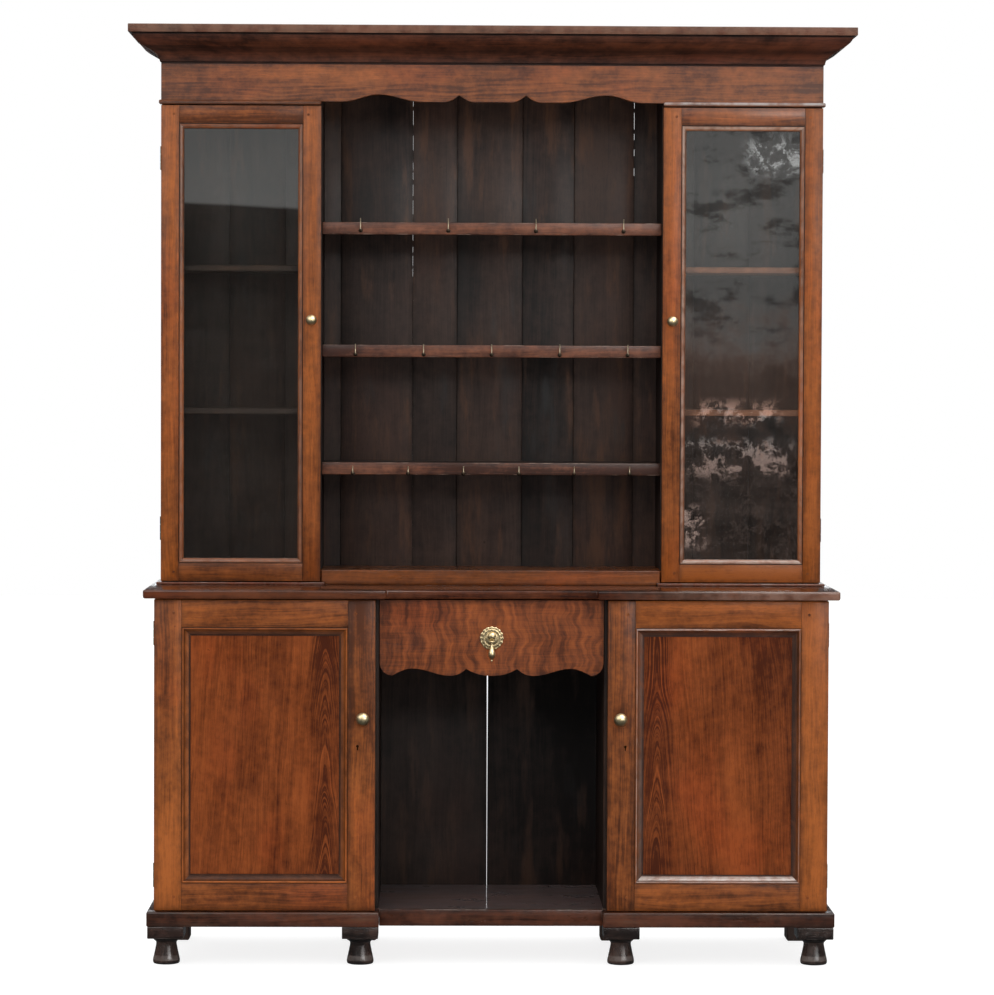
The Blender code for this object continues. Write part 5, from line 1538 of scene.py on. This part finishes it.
class DRESSER_OT_stage(bpy.types.Operator):
    """A pale floor, a white room, a soft light, what the gloss mirrors, and the camera"""

    bl_idname = "dresser.stage"
    bl_label = "Stage"

    def execute(self, context):
        settings = context.scene.dresser_stage
        context.scene.view_settings.view_transform = "Standard"
        world = bpy.data.worlds.new("white_room")
        world.use_nodes = True
        sky = world.node_tree.nodes["Background"].inputs
        sky["Color"].default_value = (1, 1, 1, 1)
        sky["Strength"].default_value = settings.sky_strength
        context.scene.world = world
        bm = bmesh.new()
        bmesh.ops.create_circle(bm, cap_ends=True, segments=96, radius=14)
        floor = self.stand("floor", bm, self.pale_floor(settings.floor_tone))
        floor.visible_glossy = False
        self.light("key", (-2.6, -4.2, 3.6), (0, 0, 1.0), 3.0, settings.key_power)
        self.dim_room()
        camera = bpy.data.cameras.new("camera")
        camera.lens = settings.lens
        camera.sensor_width = 36
        camera.clip_end = 200
        # Place and turn come from a fit of measured points in the photograph
        eye = bpy.data.objects.new("camera", camera)
        eye.location = (-0.125, -8.4279, 1.3284)
        eye.rotation_euler = (1.538627, -0.00402033, -0.01630438)
        context.scene.collection.objects.link(eye)
        context.scene.camera = eye
        return {"FINISHED"}

    def pale_floor(self, tone):
        s = Sheet("pale_floor")
        cloud = s.noise(s.node("TexCoord").outputs["Object"], 9.0, 3.0, 0.5, 1.5)
        grey = s.span(cloud, 0.2, 0.8, tone - 0.01, tone + 0.01)
        shader = s.node("BsdfPrincipled", {"Base Color": s.join(grey, grey, grey),
                                           "Roughness": 0.7, "Emission Color": (1, 1, 1, 1),
                                           "Emission Strength": 0.83})
        return s.finish(shader.outputs[0])

    def dim_room(self):
        """A dark room round the camera, which only the gloss and the glass show."""
        wide, near, far, high, low = 9, -10, 7, 5, -0.004

        def wall(name, finish, start, end):
            self.flat(name, finish, ((*start, 0), (*end, 0), (*end, high), (*start, high)))

        side_wall = self.side_wall()
        wall("dark_wall", self.outlook(), (-wide, near), (wide, near))
        wall("dark_wall_behind", side_wall, (-wide, far), (wide, far))
        for side, word in sides:
            wall("dark_wall_" + word, side_wall, (side * wide, near), (side * wide, far))
        self.flat("high_light", self.glow("high_light", (1.0, 0.97, 0.93, 1), 7.0), (
            (0.6, -4.5, 4.6), (4.0, -4.5, 4.6), (4.0, -0.5, 5.4), (0.6, -0.5, 5.4)))
        s = Sheet("dark_ground")
        coords = s.node("TexCoord").outputs["Object"]
        tone = s.span(s.noise(coords, 6.0, 3.0, 0.5, 0.8), 0.3, 0.7, 0.03, 0.08)
        ground = s.node("Emission", {"Color": (0.85, 0.95, 1.0, 1), "Strength": tone})
        self.flat("dark_ground", s.finish(ground.outputs[0]), (
            (-14, -14, low), (14, -14, low), (14, 14, low), (-14, 14, low)))

    def glow(self, name, colour, strength):
        s = Sheet(name)
        return s.finish(s.node("Emission", {"Color": colour, "Strength": strength}).outputs[0])

    def side_wall(self):
        """Dark, with light places level with the top and behind the kennel."""
        s = Sheet("dark_side")
        x, _, z = s.split(s.node("TexCoord").outputs["Object"])
        openings = s.plus(s.within(s.math("ABSOLUTE", x), (1.15, 1.25), (2.3, 2.0)),
                          s.within(x, (-0.25, -0.15), (0.42, 0.32)))
        openings = s.times(openings, s.within(z, (0.8, 0.9), (1.45, 1.32)))
        glow = s.node("Emission", {"Color": (0.93, 0.97, 1.0, 1),
                                   "Strength": s.math("MULTIPLY_ADD", openings, 2.6, 0.05)})
        return s.finish(glow.outputs[0])

    def outlook(self):
        """What the panes look out on: a grey window on the left, trees and sky on the right."""
        s = Sheet("outlook")
        coords = s.node("TexCoord").outputs["Object"]
        x, _, z = s.split(coords)
        cloud = s.noise(coords, 4.0, 8.0, 0.70, 5.0)
        ragged = s.noise(coords, 7.0, 10.0, 0.76, 10.0)
        flow = s.node("VectorMath", {0: coords, 1: (3.0, 1.0, 6.5)}, operation="MULTIPLY")
        streak = s.noise(flow.outputs[0], 2.0, 7.0, 0.68, 1.0)
        height = s.math("MULTIPLY_ADD", s.minus(cloud, 0.5), 1.1, z)

        def tufts(low, high, start, end, strength):
            """Ragged leaves that catch the light, between two heights and two places."""
            band = s.times(s.within(z, (low - 0.05, low + 0.03), (high + 0.05, high - 0.03)),
                           s.within(x, (start - 0.1, start), (end + 0.1, end)))
            return s.times(band, s.span(ragged, 0.495, 0.55, 0, 1, False), strength)

        # The window's sill runs down to the right, and it fades toward its head
        window = s.times(s.span(s.math("MULTIPLY_ADD", x, 0.045, z), 2.145, 2.170),
                         s.span(z, 3.4, 3.2), s.within(x, (-2.9, -2.6), (-0.2, -0.5)),
                         s.span(z, 2.9, 2.15, 0.82, 1.0))
        sky = s.times(s.span(height, 1.30, 1.65), s.span(streak, 0.40, 0.50, 0.28, 0.90),
                      s.span(z, 1.6, 2.2, 0.84, 1.12))
        ember = s.within(height, (0.95, 1.15), (1.75, 1.35))
        vein = s.times(s.span(s.math("ABSOLUTE", s.minus(cloud, 0.5)), 0.012, 0.002),
                       s.span(z, 1.1, 0.9, 0, 0.6))
        trees = s.plus(sky, vein)
        for tuft in ((2.40, 2.54, 1.50, 1.70, 3.6), (1.13, 1.21, 1.22, 1.56, 3.6),
                     (0.86, 1.02, 1.12, 1.62, 2.52), (0.5, 0.68, 1.05, 1.20, 3.24)):
            trees = s.plus(trees, tufts(*tuft))
        trees = s.plus(trees, s.times(ember, 0.36))
        trees = s.math("MAXIMUM", trees, s.span(streak, 0.4, 0.7, 0.03, 0.30))
        level = s.math("MULTIPLY_ADD", window, 1.04, s.times(trees, s.span(x, 0.6, 0.9)))

        dimmed = 0.33
        warm = s.math("MAXIMUM", ember, s.span(z, 1.15, 0.90, 0, 0.75))
        tint = s.mix(warm, (0.98, 0.98, 0.97, 1), (1.0, 0.60, 0.47, 1))
        glare = s.times(s.span(x, 0.8, 3.0), s.span(z, 3.1, 3.6, 0, 9.0))
        murk = s.times(s.span(z, 1.9, 1.2, 0.09, 0.11), s.span(streak, 0.3, 0.6, 0.6, 1.3),
                       dimmed)
        glow = s.node("Emission", {
            "Color": tint, "Strength": s.math("MULTIPLY_ADD", level, dimmed, glare)})
        haze = s.node("Emission", {"Color": (1.0, 0.78, 0.70, 1), "Strength": murk})
        both = s.node("AddShader", {0: glow.outputs[0], 1: haze.outputs[0]})
        return s.finish(both.outputs[0])

    def stand(self, name, bm, finish):
        """A piece of the stage, which isn't part of the dresser."""
        obj = object_of(name, bm)
        obj.data.materials.append(finish)
        return obj

    def flat(self, name, finish, corners):
        """A sheet that only glossy rays see."""
        bm = bmesh.new()
        bm.faces.new([bm.verts.new(corner) for corner in corners])
        obj = self.stand(name, bm, finish)
        obj.visible_camera = obj.visible_diffuse = obj.visible_shadow = False

    def light(self, name, place, aim, size, power):
        lamp = bpy.data.lights.new(name, "AREA")
        lamp.size = size
        lamp.energy = power
        obj = bpy.data.objects.new(name, lamp)
        obj.location = place
        obj.rotation_euler = (Vector(place) - Vector(aim)).to_track_quat("Z", "Y").to_euler()
        bpy.context.scene.collection.objects.link(obj)


class DRESSER_PT_panel(bpy.types.Panel):
    """The settings, and a button for each step"""

    bl_idname = "DRESSER_PT_panel"
    bl_label = "Dresser"
    bl_space_type = "VIEW_3D"
    bl_region_type = "UI"
    bl_category = "Dresser"

    def draw(self, context):
        for group in (context.scene.dresser_oak, context.scene.dresser_brass,
                      context.scene.dresser_stage):
            box = self.layout.box()
            for key in group.__annotations__:
                box.prop(group, key)
        for maker in makers:
            self.layout.operator(maker.bl_idname)


settings_groups = {"dresser_oak": DresserOak, "dresser_brass": DresserBrass,
                   "dresser_stage": DresserStage}
makers = (DRESSER_OT_finishes, DRESSER_OT_feet, DRESSER_OT_plinth, DRESSER_OT_carcase,
          DRESSER_OT_top, DRESSER_OT_base_doors, DRESSER_OT_drawer, DRESSER_OT_pull,
          DRESSER_OT_rack, DRESSER_OT_back_boards, DRESSER_OT_plate_shelves,
          DRESSER_OT_frieze, DRESSER_OT_glazed_doors, DRESSER_OT_hinges, DRESSER_OT_pegs,
          DRESSER_OT_stage)
hooks = hook_tree()
studs = stud_tree()


def register():
    for group in settings_groups.values():
        bpy.utils.register_class(group)
    for key, group in settings_groups.items():
        setattr(bpy.types.Scene, key, bpy.props.PointerProperty(type=group))
    for maker in makers:
        bpy.utils.register_class(maker)
    bpy.utils.register_class(DRESSER_PT_panel)


def unregister():
    bpy.utils.unregister_class(DRESSER_PT_panel)
    for maker in reversed(makers):
        bpy.utils.unregister_class(maker)
    for key in settings_groups:
        delattr(bpy.types.Scene, key)
    for group in settings_groups.values():
        bpy.utils.unregister_class(group)


def main():
    register()
    for maker in makers:
        group, name = maker.bl_idname.split(".")
        getattr(getattr(bpy.ops, group), name)()


if __name__ == "__main__":
    main()
